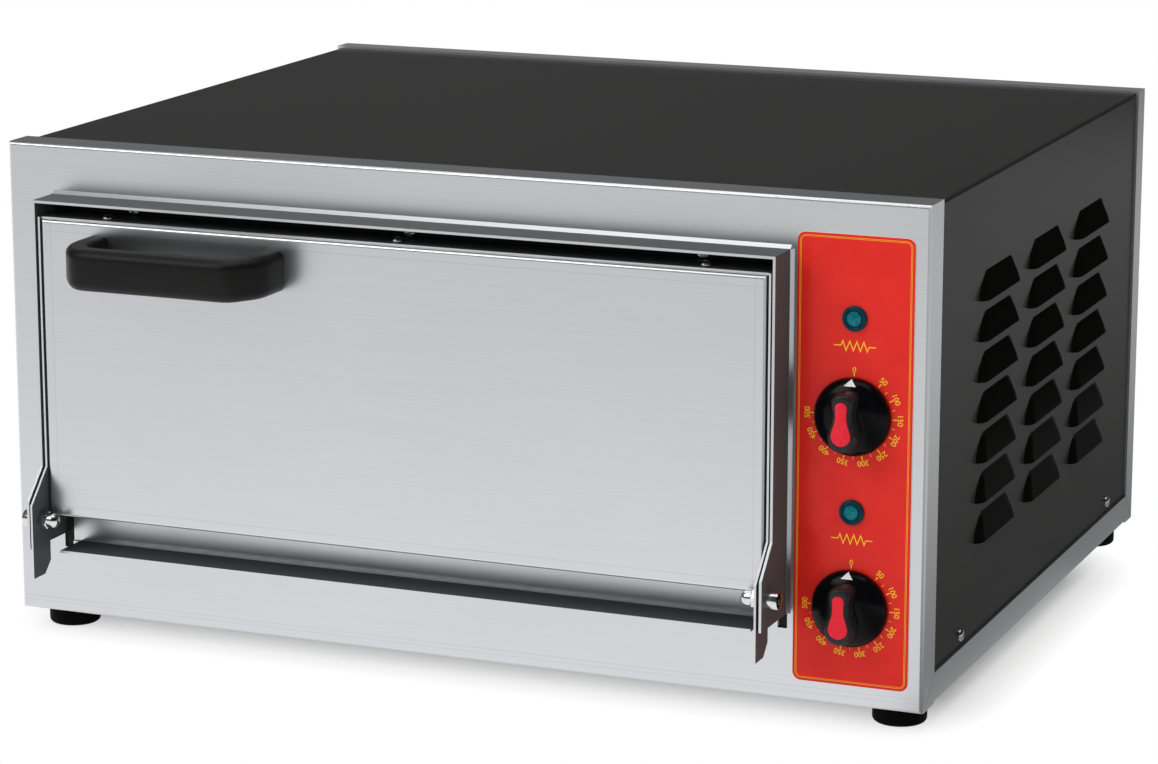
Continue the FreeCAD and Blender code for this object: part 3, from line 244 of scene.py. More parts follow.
# Black cover: one sheet of painted steel, folded over the top and down both sides. The louvres
# of its right side are slit and pressed outwards as hoods with rounded ends, open below.
# It is tucked under the flanges of the casing and held by screws low on the sides.
BODY_TO_FRAME = Vector((-0.95, 26.0, 13.0))
COVER_SIDE = 283.5
COVER_TOP = 284.5
COVER_LOW = 19.0
COVER_FRONT = -220.5
COVER_REAR = 225.0
COVER_BEND = 2.0
COVER_GAUGE = 1.0
HOOD_START = 0.05
LOUVRE_COLUMNS = (-96.0, 5.5, 107.0)
LOUVRE_TOPS = [230.5 - 23.6 * line for line in range(7)]
LOUVRE_HALF = 37.0
LOUVRE_TOP_HALF = 25.0
LOUVRE_HIGH = 16.0
LOUVRE_RISE = 4.5
LOUVRE_END = 8.0
GRID_ACROSS = 52
GRID_DOWN = 12


def metres(point):
    """A point of the casing, in millimetres from its middle and underside, in frame metres."""
    return (Vector(point) + BODY_TO_FRAME) / 1000


def added(name, data):
    """A new object in the scene."""
    piece = bpy.data.objects.new(name, data)
    bpy.context.scene.collection.objects.link(piece)
    return piece


def smoothed(mesh, sharp):
    """Smooth shading, but for edges sharper than an angle in degrees."""
    mesh.polygons.foreach_set("use_smooth", [True] * len(mesh.polygons))
    mesh.set_sharp_from_angle(angle=math.radians(sharp))


def shape(name, points, faces, finish, sharp=30.0, placed=True, closed=True):
    """A piece from points in millimetres and faces, smooth but for its sharp edges."""
    mesh = bpy.data.meshes.new(name)
    mesh.from_pydata([metres(p) if placed else Vector(p) / 1000 for p in points], [], faces)
    if closed:
        work = bmesh.new()
        work.from_mesh(mesh)
        bmesh.ops.remove_doubles(work, verts=work.verts, dist=1e-6)
        bmesh.ops.recalc_face_normals(work, faces=work.faces)
        work.to_mesh(mesh)
        work.free()
    smoothed(mesh, sharp)
    mesh.materials.append(finish)
    return added(name, mesh)


def settled(piece, name, sharp=None):
    """The piece with its modifiers applied, as a new plain object; the old one is removed."""
    graph = bpy.context.evaluated_depsgraph_get()
    mesh = bpy.data.meshes.new_from_object(piece.evaluated_get(graph), depsgraph=graph)
    bpy.data.objects.remove(piece)
    if sharp is not None:
        smoothed(mesh, sharp)
    return added(name, mesh)


def set_out_tree():
    """Copies of a template, one at every point, each with the point's own turn."""
    tree = bpy.data.node_groups.new("set_out", "GeometryNodeTree")
    tree.interface.new_socket("Points", in_out="INPUT", socket_type="NodeSocketGeometry")
    tree.interface.new_socket("Template", in_out="INPUT", socket_type="NodeSocketObject")
    tree.interface.new_socket("Size", in_out="INPUT", socket_type="NodeSocketFloat")
    tree.interface.new_socket("Finish", in_out="INPUT", socket_type="NodeSocketMaterial")
    tree.interface.new_socket("Pieces", in_out="OUTPUT", socket_type="NodeSocketGeometry")
    given = tree.nodes.new("NodeGroupInput")
    result = tree.nodes.new("NodeGroupOutput")
    template = tree.nodes.new("GeometryNodeObjectInfo")
    turn = tree.nodes.new("GeometryNodeInputNamedAttribute")
    turn.data_type = "FLOAT_VECTOR"
    turn.inputs["Name"].default_value = "turn"
    rotation = tree.nodes.new("FunctionNodeEulerToRotation")
    copies = tree.nodes.new("GeometryNodeInstanceOnPoints")
    real = tree.nodes.new("GeometryNodeRealizeInstances")
    coloured = tree.nodes.new("GeometryNodeSetMaterial")
    tree.links.new(given.outputs["Points"], copies.inputs["Points"])
    tree.links.new(given.outputs["Template"], template.inputs["Object"])
    tree.links.new(template.outputs["Geometry"], copies.inputs["Instance"])
    tree.links.new(turn.outputs["Attribute"], rotation.inputs["Euler"])
    tree.links.new(rotation.outputs["Rotation"], copies.inputs["Rotation"])
    tree.links.new(given.outputs["Size"], copies.inputs["Scale"])
    tree.links.new(copies.outputs["Instances"], real.inputs["Geometry"])
    tree.links.new(real.outputs["Geometry"], coloured.inputs["Geometry"])
    tree.links.new(given.outputs["Finish"], coloured.inputs["Material"])
    tree.links.new(coloured.outputs["Geometry"], result.inputs["Pieces"])
    return tree


set_out_rule = set_out_tree()
set_out_inputs = {item.name: item.identifier for item in set_out_rule.interface.items_tree
                  if item.in_out == "INPUT"}


def set_out(name, template, places, turns, finish, size=1.0, sharp=30.0):
    """One plain mesh of a template repeated at places, in millimetres, with their turns."""
    mesh = bpy.data.meshes.new(name)
    mesh.from_pydata([metres(place) for place in places], [], [])
    own_turns = mesh.attributes.new("turn", "FLOAT_VECTOR", "POINT")
    for item, turn in zip(own_turns.data, turns):
        item.vector = turn
    points = added(name + "_points", mesh)
    rule = points.modifiers.new("set_out", "NODES")
    rule.node_group = set_out_rule
    rule[set_out_inputs["Template"]] = template
    rule[set_out_inputs["Size"]] = size
    rule[set_out_inputs["Finish"]] = finish
    return settled(points, name, sharp)


def hood_height(across, down):
    """How far a louvre stands out: nothing at its top and ends, most at its open lower edge."""
    share = down / LOUVRE_HIGH
    edge = LOUVRE_TOP_HALF + (LOUVRE_HALF - LOUVRE_TOP_HALF) * math.sin(share * math.pi / 2)
    end = min(max((edge - abs(across)) / LOUVRE_END, 0.0), 1.0)
    return LOUVRE_RISE * share * math.sqrt(1 - (1 - end) ** 2)


def cell(row, col, wide):
    """The corners of one cell in a grid of points laid row by row."""
    corner = row * wide + col
    return corner, corner + wide, corner + wide + 1, corner + 1


def arc(across, up, size, start, end, steps=8):
    """Points on a circle about a centre, from one angle to another in degrees."""
    angles = [math.radians(start + (end - start) * step / steps) for step in range(steps + 1)]
    return [(across + size * math.cos(angle), up + size * math.sin(angle)) for angle in angles]


cover_paint = grained("cover_paint", (0.0165, 0.0168, 0.0164), (0.0235, 0.0239, 0.0233),
                      (0.20, 0.25), 1400.0, bump=0.06, depth=0.0001, specular=0.03)
# The louvre hoods take a darker copy of the same paint with almost no gloss: painted shade.
hood_paint = grained("hood_paint", (0.0024, 0.0024, 0.0022), (0.0036, 0.0036, 0.0033),
                     (0.10, 0.14), 1400.0, bump=0.03, depth=0.0001, specular=0.002)
across_steps = [-LOUVRE_HALF + 2 * LOUVRE_HALF * step / GRID_ACROSS
                for step in range(GRID_ACROSS + 1)]
down_steps = [LOUVRE_HIGH * step / GRID_DOWN for step in range(GRID_DOWN + 1)]
louvre_points = [(hood_height(across, down), across, -down)
                 for down in down_steps for across in across_steps]
louvre_faces = [cell(row, col, GRID_ACROSS + 1)
                for row in range(GRID_DOWN) for col in range(GRID_ACROSS)]
louvre = shape("louvre", louvre_points, louvre_faces, cover_paint, placed=False, closed=False)
louvre_places = [(COVER_SIDE, y, z) for y in LOUVRE_COLUMNS for z in LOUVRE_TOPS]
louvres = set_out("louvres", louvre, louvre_places, [(0, 0, 0)] * len(louvre_places), cover_paint)
bpy.data.objects.remove(louvre)

wall_ys = [COVER_FRONT]
for middle in LOUVRE_COLUMNS:
    wall_ys += [middle + across for across in across_steps]
wall_ys.append(COVER_REAR)
wall_zs = [COVER_TOP - COVER_BEND]
for top in LOUVRE_TOPS:
    wall_zs += [top - down for down in down_steps]
wall_zs.append(COVER_LOW)
bend = arc(0.0, 0.0, COVER_BEND, 90, 0, 10)
fold = [(COVER_SIDE - COVER_BEND + out, COVER_TOP - COVER_BEND + up) for out, up in bend[::-1]]
fold += [(-COVER_SIDE + COVER_BEND - out, COVER_TOP - COVER_BEND + up) for out, up in bend]
fold.append((-COVER_SIDE, COVER_LOW))
rows, columns = len(wall_zs), len(wall_ys)
sheet_points = [(COVER_SIDE, y, z) for z in wall_zs for y in wall_ys]
sheet_points += [(x, y, z) for x, z in fold[1:] for y in wall_ys]
sheet_faces = []
for row in range(rows - 1):
    for col in range(columns - 1):
        z_middle = (wall_zs[row] + wall_zs[row + 1]) / 2
        y_middle = (wall_ys[col] + wall_ys[col + 1]) / 2
        hooded = any(abs(y_middle - y) < LOUVRE_HALF for y in LOUVRE_COLUMNS) and any(
            z - LOUVRE_HIGH < z_middle < z for z in LOUVRE_TOPS)
        if not hooded:
            sheet_faces.append(cell(row, col, columns))
for step in range(len(fold) - 1):
    first = (rows + step - 1) * columns if step else 0
    second = (rows + step) * columns
    for col in range(columns - 1):
        sheet_faces.append((first + col, first + col + 1, second + col + 1, second + col))
cover = shape("outer_cover_sheet", sheet_points, sheet_faces, cover_paint, closed=False)
work = bmesh.new()
work.from_mesh(cover.data)
work.from_mesh(louvres.data)
bmesh.ops.remove_doubles(work, verts=work.verts, dist=2e-6)
for edge in [edge for edge in work.edges if not edge.link_faces]:
    work.edges.remove(edge)
for point in [point for point in work.verts if not point.link_faces]:
    work.verts.remove(point)
bmesh.ops.recalc_face_normals(work, faces=work.faces)
if max(work.faces, key=lambda face: face.calc_center_median().z).normal.z < 0:
    bmesh.ops.reverse_faces(work, faces=work.faces)
work.to_mesh(cover.data)
work.free()
bpy.data.objects.remove(louvres)
wall = cover.modifiers.new("gauge", "SOLIDIFY")
wall.thickness = COVER_GAUGE / 1000
wall.offset = -1.0
cover = settled(cover, "outer_cover_sheet", sharp=35.0)
# Faces that stand out from the side as hoods get the painted shade copy of the paint.
cover.data.materials.append(hood_paint)
hood_x = metres((COVER_SIDE + HOOD_START, 0, 0)).x
for face in cover.data.polygons:
    face.use_smooth = max(abs(part) for part in face.normal) < 0.9999
    face.material_index = 1 if face.center.x > hood_x else 0
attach(cover, "oven")
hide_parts("outer_cover")

# Feet: four moulded rubber buffers with a rounded lower edge and a sunk middle. Each is held to
# the base pan by a screw from inside.
foot_rubber = grained("foot_rubber", (0.0012, 0.0012, 0.0012), (0.003, 0.003, 0.003),
                      (0.50, 0.70), 700.0, bump=0.2, depth=0.0002, specular=0.06)


def turned(profile, steps=48):
    """Points and faces of a form turned about Z from pairs of radius and height."""
    points = []
    rings = []
    for radius, height in profile:
        if radius == 0:
            rings.append([len(points)] * steps)
            points.append((0, 0, height))
        else:
            rings.append([len(points) + step for step in range(steps)])
            for step in range(steps):
                angle = 2 * math.pi * step / steps
                points.append((radius * math.cos(angle), radius * math.sin(angle), height))
    faces = []
    for lower, upper in zip(rings, rings[1:]):
        for step in range(steps):
            after = (step + 1) % steps
            ring_corners = (lower[step], lower[after], upper[after], upper[step])
            corners = list(dict.fromkeys(ring_corners))
            if len(corners) > 2:
                faces.append(corners)
    return points, faces


foot_profile = [(0, -11.6), (5.0, -11.6), (5.6, -13.0)] + arc(12.7, -10.2, 2.8, -90, 0)
foot_profile += [(15.5, -1.0), (15.0, 0.0), (0, 0.0)]
foot = shape("foot", *turned(foot_profile), foot_rubber, placed=False)
foot_places = [(x, y, 0.0) for x in (-264.0, 264.0) for y in (-206.5, 206.5)]
feet = set_out("feet", foot, foot_places, [(0, 0, 0)] * 4, foot_rubber)
bpy.data.objects.remove(foot)
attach(feet, "oven")
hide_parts("rubber_feet")

# Small fasteners: zinc-plated pan-head screws with a cross recess, on the cover's sides, the rear
# panel and the plate behind the mouth, and on the door's top edge.
bright_zinc = grained("bright_zinc", (0.66, 0.67, 0.68), (0.80, 0.80, 0.79), (0.10, 0.20), 900.0,
                      metallic=1.0, bump=0.08, depth=0.0001)
SQUARE = ((-1, -1), (1, -1), (1, 1), (-1, 1))
DOOR_MIDDLE = -24.5


def banded(levels, size):
    """Faces between loops of points laid one after another, capped at both ends."""
    faces = []
    for level in range(levels - 1):
        low, high = level * size, (level + 1) * size
        for step in range(size):
            after = (step + 1) % size
            faces.append((low + step, low + after, high + after, high + step))
    return faces + [tuple(range(size)), tuple(range((levels - 1) * size, levels * size))]


def sunk_into(head, points, faces):
    """The head with a recess of the given points and faces cut into it."""
    tool = shape("recess", points, faces, bright_zinc, placed=False)
    sink = head.modifiers.new("recess", "BOOLEAN")
    sink.operation = "DIFFERENCE"
    sink.object = tool
    sink.solver = "EXACT"
    cut = settled(head, head.name)
    bpy.data.objects.remove(tool)
    return cut


def cross_head(name, radius, height, rim, crown):
    """A turned head with a cross recess sunk into its crown."""
    profile = [(0, 0), (radius, 0), (radius, rim)]
    for angle in range(10, 90, 10):
        profile.append((radius * math.cos(math.radians(angle)),
                        rim + crown * math.sin(math.radians(angle))))
    profile.append((0, rim + crown))
    head = shape(name, *turned(profile, 40), bright_zinc, placed=False)
    long, thick = radius * 0.62, radius * 0.15
    foot_and_mouth = ((height * 0.45, 0.55), (height * 1.3, 1.0))
    for half_x, half_y in ((long, thick), (thick, long)):
        bar = [(x * half_x * share, y * half_y * share, z)
               for z, share in foot_and_mouth for x, y in SQUARE]
        head = sunk_into(head, bar, banded(2, 4))
    return head


def facing(direction, roll=0.0):
    """The turn that points a template's Z along a direction."""
    aim = Vector(direction).to_track_quat("Z", "Y")
    return (aim @ Euler((0, 0, math.radians(roll))).to_quaternion()).to_euler()


pan_head = cross_head("pan_head", 3.7, 2.6, 0.7, 1.9)
cover_places = [(side * COVER_SIDE, y, 25.5) for side in (-1, 1) for y in (-158.0, 168.0)]
cover_turns = [facing((side, 0, 0), roll) for side, roll in ((-1, 20), (-1, 65), (1, 35), (1, 10))]
rear_places = [(x, 232.5, 24.0) for x in (-255.0, -85.0, 85.0, 255.0)]
rear_turns = [facing((0, 1, 0), roll) for roll in (12, 50, 80, 33)]
mouth_places = [(DOOR_MIDDLE + x, -231.0, 248.8) for x in (-178.0, 0.0, 178.0)]
mouth_turns = [facing((0, -1, 0), roll) for roll in (25, 70, 5)]
door_places = [(DOOR_MIDDLE + x, -247.7, 247.2) for x in (-186.0, 0.0, 186.0)]
door_turns = [facing((0, 0, 1), roll) for roll in (40, 15, 75)]
for name, places, turns, body, node in (
        ("cover_screw_heads", cover_places, cover_turns, "oven", "cover_screws"),
        ("rear_screw_heads", rear_places, rear_turns, "oven", "rear_screws"),
        ("mouth_screw_heads", mouth_places, mouth_turns, "oven", "mouth_screws"),
        ("door_screw_heads", door_places, door_turns, "door", "door_top_screws")):
    heads = set_out(name, pan_head, places, turns, bright_zinc)
    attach(heads, body)
    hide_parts(node)
bpy.data.objects.remove(pan_head)
dress(bright_zinc, "foot_screws", "handle_screws", "hinge_washers")

# Hinge: a bolt with a tall socket head outside each ear of the fascia, and a domed nut inside the
# door's arm. The bolts stay with the oven, and the door turns on them.
HINGE_Y = -266.0
HINGE_Z = 66.5
EAR_OUTSIDE = 230.0
ARM_INSIDE = 225.85


def hexagon(radius):
    """Six corners round a middle."""
    return arc(0.0, 0.0, radius, 0, 300, 5)


socket_profile = [(0, 0), (5.0, 0), (5.0, 6.4), (4.8, 6.85), (4.4, 7.0), (0, 7.0)]
tall_head = shape("tall_head", *turned(socket_profile), bright_zinc, placed=False)
socket_points = [(x, y, z) for z in (3.6, 7.6) for x, y in hexagon(2.9)]
tall_head = sunk_into(tall_head, socket_points, banded(2, 6))
hinge_places = [(DOOR_MIDDLE + side * EAR_OUTSIDE, HINGE_Y, HINGE_Z) for side in (-1, 1)]
hinge_turns = [facing((side, 0, 0), roll) for side, roll in ((-1, 30), (1, 55))]
hinge_heads = set_out("hinge_bolt_heads", tall_head, hinge_places, hinge_turns, bright_zinc)
bpy.data.objects.remove(tall_head)
shank_profile = [(0, 0), (2.5, 0), (2.5, 8.65), (0, 8.65)]
shank = shape("hinge_shank", *turned(shank_profile, 24), bright_zinc, placed=False)
shank_turns = [facing((-side, 0, 0)) for side in (-1, 1)]
shanks = set_out("hinge_bolt_shanks", shank, hinge_places, shank_turns, bright_zinc)
bpy.data.objects.remove(shank)
work = bmesh.new()
work.from_mesh(hinge_heads.data)
work.from_mesh(shanks.data)
work.to_mesh(hinge_heads.data)
work.free()
bpy.data.objects.remove(shanks)
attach(hinge_heads, "oven")
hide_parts("hinge_bolts")

hex_levels = ((0.0, 5.0), (0.5, 5.5), (4.0, 5.5), (4.5, 5.0))
hex_points = [(x, y, height) for height, radius in hex_levels for x, y in hexagon(radius)]
dome_profile = [(0, 4.5), (4.3, 4.5), (4.3, 7.2)] + arc(0.0, 7.2, 4.3, 5, 85) + [(0, 11.5)]
dome_points, dome_faces = turned(dome_profile, 40)
nut_faces = banded(len(hex_levels), 6)
nut_faces += [tuple(corner + len(hex_points) for corner in face) for face in dome_faces]
nut = shape("domed_nut", hex_points + dome_points, nut_faces, bright_zinc, placed=False)
nut_places = [(DOOR_MIDDLE + side * ARM_INSIDE, HINGE_Y, HINGE_Z) for side in (-1, 1)]
nut_turns = [facing((-side, 0, 0), 15) for side in (-1, 1)]
nuts = set_out("domed_nuts", nut, nut_places, nut_turns, bright_zinc)
bpy.data.objects.remove(nut)
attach(nuts, "oven")
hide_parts("hinge_nuts")

# Door: a brushed stainless pan, folded on four sides, on an inner pan whose sides are the hinge
# arms. The brake leaves a faint line a few millimetres inside each fold.
BRAKE_LINE = 0.0065
DOOR_BEND = 0.004
door_low, door_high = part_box("door_skin")
door_lines = [("X", door_low.x + BRAKE_LINE), ("X", door_high.x - BRAKE_LINE),
              ("Z", door_low.z + BRAKE_LINE), ("Z", door_high.z - BRAKE_LINE)]


# Mask of painted shade: the door's turned-in sides take the dark grey tone and are duller and
# rougher.
def bend_sides(tree, at, facing_side):
    """One on the turned-in sides of the door front, behind its bends."""
    return worked(tree, "GREATER_THAN", at["Y"], door_low.y + DOOR_BEND)


dress(folded_steel("door_stainless", (0.28, 0.32), door_lines, bend_sides), "door_skin")

# Handle: a black moulded bow with rounded corners and soft edges, high on the left of the door.
# It is screwed on from inside the door.
handle_plastic = grained("handle_plastic", (0.004, 0.004, 0.004), (0.008, 0.008, 0.0075),
                         (0.34, 0.48), 1100.0, bump=0.10, depth=0.0001, specular=0.22)
HANDLE_X = -155.5
HANDLE_Z = 226.5
HANDLE_HALF = 12.1
OUTER_EDGE = 5.5
PALM_EDGE = 3.5
DOOR_FACE = -258.5
outer_half = [(64.5, 0.0), (64.5, 10.0), (64.4, 17.0), (63.7, 22.6), (62.1, 27.2), (59.8, 31.2),
              (57.0, 35.3), (54.2, 39.2), (51.0, 42.2), (47.0, 43.7), (42.0, 44.0), (28.0, 44.0),
              (14.0, 44.0), (0.0, 44.0)]
inner_half = [(49.5, 0.0), (49.5, 8.0), (49.5, 14.0), (49.4, 18.0), (49.1, 21.0), (48.4, 23.8),
              (47.0, 26.4), (45.0, 28.3), (42.6, 29.5), (39.8, 30.0), (36.0, 30.0), (25.0, 30.0),
              (12.5, 30.0), (0.0, 30.0)]


def soft_corners(width):
    """A rounded oblong from the palm side at zero to the outer side at its width."""
    outer, palm = width - OUTER_EDGE, PALM_EDGE
    loop = []
    for across, up, size, start in ((outer, HANDLE_HALF - OUTER_EDGE, OUTER_EDGE, 90),
                                    (outer, OUTER_EDGE - HANDLE_HALF, OUTER_EDGE, 0),
                                    (palm, PALM_EDGE - HANDLE_HALF, PALM_EDGE, -90),
                                    (palm, HANDLE_HALF - PALM_EDGE, PALM_EDGE, -180)):
        loop += arc(across, up, size, start, start - 90, 6)
    return loop


outer_line, inner_line = [[(-x, out) for x, out in half] + half[-2::-1]
                          for half in (outer_half, inner_half)]
bow_points = []
for (x_out, y_out), (x_in, y_in) in zip(outer_line, inner_line):
    reach = Vector((x_out - x_in, y_out - y_in))
    for across, up in soft_corners(reach.length):
        share = across / reach.length
        bow_points.append((HANDLE_X + x_in + reach.x * share, DOOR_FACE - y_in - reach.y * share,
                           HANDLE_Z + up))
bow_faces = banded(len(outer_line), len(bow_points) // len(outer_line))
handle = shape("handle_bow", bow_points, bow_faces, handle_plastic, sharp=50.0)
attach(handle, "door")
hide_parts("door_handle")

# Control label: a red plate under a clear domed skin, whose edge faces are painted pale as a
# highlight of the skin. It is stuck to the fascia beside the door.
label_red = grained("label_red", (0.72, 0.021, 0.015), (0.78, 0.027, 0.019), (0.14, 0.22), 60.0,
                    bump=0.03, depth=0.0003, specular=0.16)
label_edge = grained("label_edge", (0.78, 0.76, 0.75), (0.88, 0.87, 0.86), (0.08, 0.16), 200.0,
                     bump=0.03)
CONTROL_X = 242.8
FASCIA = -232.5
LABEL_LEFT = 209.0
LABEL_RIGHT = 276.6
LABEL_LOW = 12.1
LABEL_HIGH = 267.3
LABEL_CORNER = 5.0
LABEL_LEVELS = ((0.0, 0.0), (0.0, 0.35), (0.12, 0.62), (0.4, 0.82), (0.9, 0.9))


def rounded_outline(inset, corner):
    """A rounded rectangle inside the label's edge, as pairs of X and Z."""
    left, right = LABEL_LEFT + inset + corner, LABEL_RIGHT - inset - corner
    low, high = LABEL_LOW + inset + corner, LABEL_HIGH - inset - corner
    outline = []
    for x, z, start in ((right, high, 0), (left, high, 90), (left, low, 180), (right, low, 270)):
        outline += arc(x, z, corner, start, start + 90, 10)
    return outline


label_points = []
for inset, out in LABEL_LEVELS:
    label_points += [(x, FASCIA - out, z) for x, z in rounded_outline(inset, LABEL_CORNER - inset)]
label_faces = banded(len(LABEL_LEVELS), len(label_points) // len(LABEL_LEVELS))
label = shape("label_plate", label_points, label_faces, label_red, sharp=60.0)
# The rim faces take the painted highlight.
label.data.materials.append(label_edge)
for face in label.data.polygons:
    face.material_index = 1 if abs(face.normal.y) < 0.75 else 0
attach(label, "oven")
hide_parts("control_label")

# Label print: a double border line and two heater signs in gold, a hair above the plate. Each
# sign stands between a pilot lamp and its dial.
gold_print = grained("gold_print", (0.94, 0.55, 0.020), (0.99, 0.63, 0.04), (0.35, 0.45), 1500.0,
                     bump=0.05, specular=0.16)
PRINT_MIDDLE = FASCIA - 0.915
PRINT_HALF = 0.025
PRINT_BACK = PRINT_MIDDLE + PRINT_HALF
PRINT_FRONT = PRINT_MIDDLE - PRINT_HALF
BORDER_WIDTH = 0.20
SIGN_WIDTH = 0.55
SIGN_HEIGHTS = (205.5, 96.5)
ZIGZAG = ((-12.0, 0.0), (-8.0, 0.0), (-6.8, 2.6), (-5.0, -2.6), (-2.8, 2.6), (-0.8, -2.6),
          (1.2, 2.6), (3.2, -2.6), (5.2, 2.6), (7.2, -2.6), (8.2, 0.0), (12.0, 0.0))
print_points = []
print_faces = []


def add_ribbon(line, width, closed=False):
    """A thin printed line of one width along pairs of X and Z."""
    total = len(line)
    start = len(print_points)
    for index, point in enumerate(line):
        here = Vector(point)
        before = Vector(line[index - 1]) if index or closed else None
        after = Vector(line[(index + 1) % total]) if index < total - 1 or closed else None
        into = ((here - before) if before is not None else (after - here)).normalized()
        out = (after - here).normalized() if after is not None else into
        across = Vector((-(into + out).y, (into + out).x)).normalized()
        reach = width / 2 / max(across.dot(Vector((-into.y, into.x))), 0.35)
        for side, y in ((1, PRINT_BACK), (-1, PRINT_BACK), (-1, PRINT_FRONT), (1, PRINT_FRONT)):
            edge = here + across * reach * side
            print_points.append((edge.x, y, edge.y))
    for index in range(total if closed else total - 1):
        first, second = start + index * 4, start + (index + 1) % total * 4
        for corner in range(4):
            after = (corner + 1) % 4
            print_faces.append((first + corner, first + after, second + after, second + corner))
    if not closed:
        for first in (start, start + (total - 1) * 4):
            print_faces.append((first, first + 1, first + 2, first + 3))


for inset, corner in ((1.75, 3.4), (2.40, 2.8)):
    add_ribbon(rounded_outline(inset, corner), BORDER_WIDTH, closed=True)
for sign_z in SIGN_HEIGHTS:
    add_ribbon([(CONTROL_X + x, sign_z + z) for x, z in ZIGZAG], SIGN_WIDTH)
lines_print = shape("label_lines", print_points, print_faces, gold_print, sharp=20.0)
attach(lines_print, "oven")

# Dial print: a long stroke at every number, a short one halfway, and the numbers themselves,
# which begin with zero at the top and run clockwise.
KNOB_HEIGHTS = {"upper": 166.3, "lower": 57.3}
FIRST_TURN = 39.0
TURN_STEP = 25.66
NUMBER_TURNS = [0.0] + [FIRST_TURN + TURN_STEP * step for step in range(10)]
HALFWAY_TURNS = [FIRST_TURN + TURN_STEP * (step + 0.5) for step in range(9)]
STROKE_RING = 22.5
NUMBER_RING = 26.6
ZERO_RING = 25.8
NUMBER_SIZE = 4.5
NUMBER_BOLD = 0.02
DEGREES_PER_NUMBER = 50


def on_dial(radius, turn, middle):
    """A place on the print at a radius and a turn from the top of a dial."""
    angle = math.radians(turn)
    return CONTROL_X + radius * math.sin(angle), PRINT_MIDDLE, middle + radius * math.cos(angle)


for kind, turns, wide, long in (("major", NUMBER_TURNS, 0.65, 2.2),
                                ("minor", HALFWAY_TURNS, 0.36, 1.8)):
    stroke_points = [(x * wide / 2, y * PRINT_HALF, z) for z in (0.0, long) for x, y in SQUARE]
    stroke = shape("stroke", stroke_points, banded(2, 4), gold_print, placed=False)
    ticks_at = [on_dial(STROKE_RING, turn, middle)
                for middle in KNOB_HEIGHTS.values() for turn in turns]
    tick_turns = [(0, math.radians(turn), 0) for turn in turns] * len(KNOB_HEIGHTS)
    ticks = set_out("dial_" + kind + "_ticks", stroke, ticks_at, tick_turns, gold_print)
    bpy.data.objects.remove(stroke)
    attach(ticks, "oven")

numbers = bmesh.new()
upright = Matrix.Rotation(math.pi / 2, 4, "X") @ Matrix.Scale(0.001, 4)
for middle in KNOB_HEIGHTS.values():
    for step, turn in enumerate(NUMBER_TURNS):
        letters = bpy.data.curves.new("dial_number", "FONT")
        letters.body = str(step * DEGREES_PER_NUMBER)
        letters.size = NUMBER_SIZE
        letters.align_x = "CENTER"
        letters.align_y = "CENTER"
        letters.extrude = PRINT_HALF
        letters.offset = NUMBER_BOLD
        sign = added("dial_number", letters)
        mesh = bpy.data.meshes.new_from_object(sign)
        place = metres(on_dial(NUMBER_RING if step else ZERO_RING, turn, middle))
        mesh.transform(Matrix.Translation(place)
                       @ Matrix.Rotation(math.radians(turn), 4, "Y") @ upright)
        numbers.from_mesh(mesh)
        bpy.data.objects.remove(sign)
        bpy.data.curves.remove(letters)
        bpy.data.meshes.remove(mesh)
number_mesh = bpy.data.meshes.new("dial_numbers")
bmesh.ops.remove_doubles(numbers, verts=numbers.verts, dist=1e-7)
bmesh.ops.recalc_face_normals(numbers, faces=numbers.faces)
numbers.to_mesh(number_mesh)
numbers.free()
number_mesh.materials.clear()
number_mesh.materials.append(gold_print)
dial_numbers = added("dial_numbers", number_mesh)
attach(dial_numbers, "oven")

# Pilot lamps: a teal moulded bezel with a raised lens in its middle, clipped into the fascia
# above each dial.
lens_teal = grained("lens_teal", (0.0, 0.028, 0.044), (0.0, 0.046, 0.066), (0.08, 0.16), 300.0,
                    bump=0.05, specular=0.15)
lens_bright = grained("lens_bright", (0.0, 0.085, 0.115), (0.004, 0.22, 0.25), (0.10, 0.20), 700.0,
                      bump=0.30, specular=0.15)
LAMP_HEIGHTS = {"upper": 221.0, "lower": 112.0}
LAMP_BACK = FASCIA - 0.85
bezel_profile = [(0, 0), (7.1, 0)] + arc(6.1, 1.2, 1.05, -20, 90)
bezel_profile += [(5.3, 2.1), (4.75, 1.5), (0, 1.5)]
core_profile = [(0, 1.5), (4.1, 1.5)] + arc(3.4, 2.1, 0.7, 0, 90) + [(1.8, 3.15), (0, 3.25)]
for level, middle in LAMP_HEIGHTS.items():
    for part, profile, finish in (("bezel", bezel_profile, lens_teal),
                                  ("core", core_profile, lens_bright)):
        form = shape("pilot_" + part, *turned(profile, 56), finish, placed=False, sharp=40.0)
        piece = set_out(level + "_pilot_" + part, form, [(CONTROL_X, LAMP_BACK, middle)],
                        [facing((0, -1, 0))], finish, sharp=40.0)
        bpy.data.objects.remove(form)
        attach(piece, "oven")
        if part == "bezel":
            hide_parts(level + "_pilot_lens")

# Knobs: a glossy black domed skirt with a white pointer, and a waisted grip across it that
# carries a red insert. Each is pushed onto its thermostat's shaft.
knob_gloss = grained("knob_gloss", (0.0015, 0.0015, 0.0022), (0.003, 0.003, 0.004), (0.16, 0.24),
                     400.0, bump=0.03, specular=0.12)
grip_grey = grained("grip_grey", (0.010, 0.010, 0.012), (0.017, 0.017, 0.020), (0.30, 0.42),
                    1300.0, bump=0.12, specular=0.3)
insert_red = grained("insert_red", (0.72, 0.012, 0.030), (0.82, 0.020, 0.045), (0.28, 0.40), 500.0,
                     bump=0.06, specular=0.2)
pointer_white = grained("pointer_white", (0.72, 0.72, 0.70), (0.84, 0.84, 0.82), (0.35, 0.5),
                        800.0, bump=0.05)
KNOB_BACK = FASCIA - 1.3
DOME_RADIUS = 21.9
DOME_FOOT = 2.4
DOME_RISE = 9.0
GRIP_LONG = 33.0
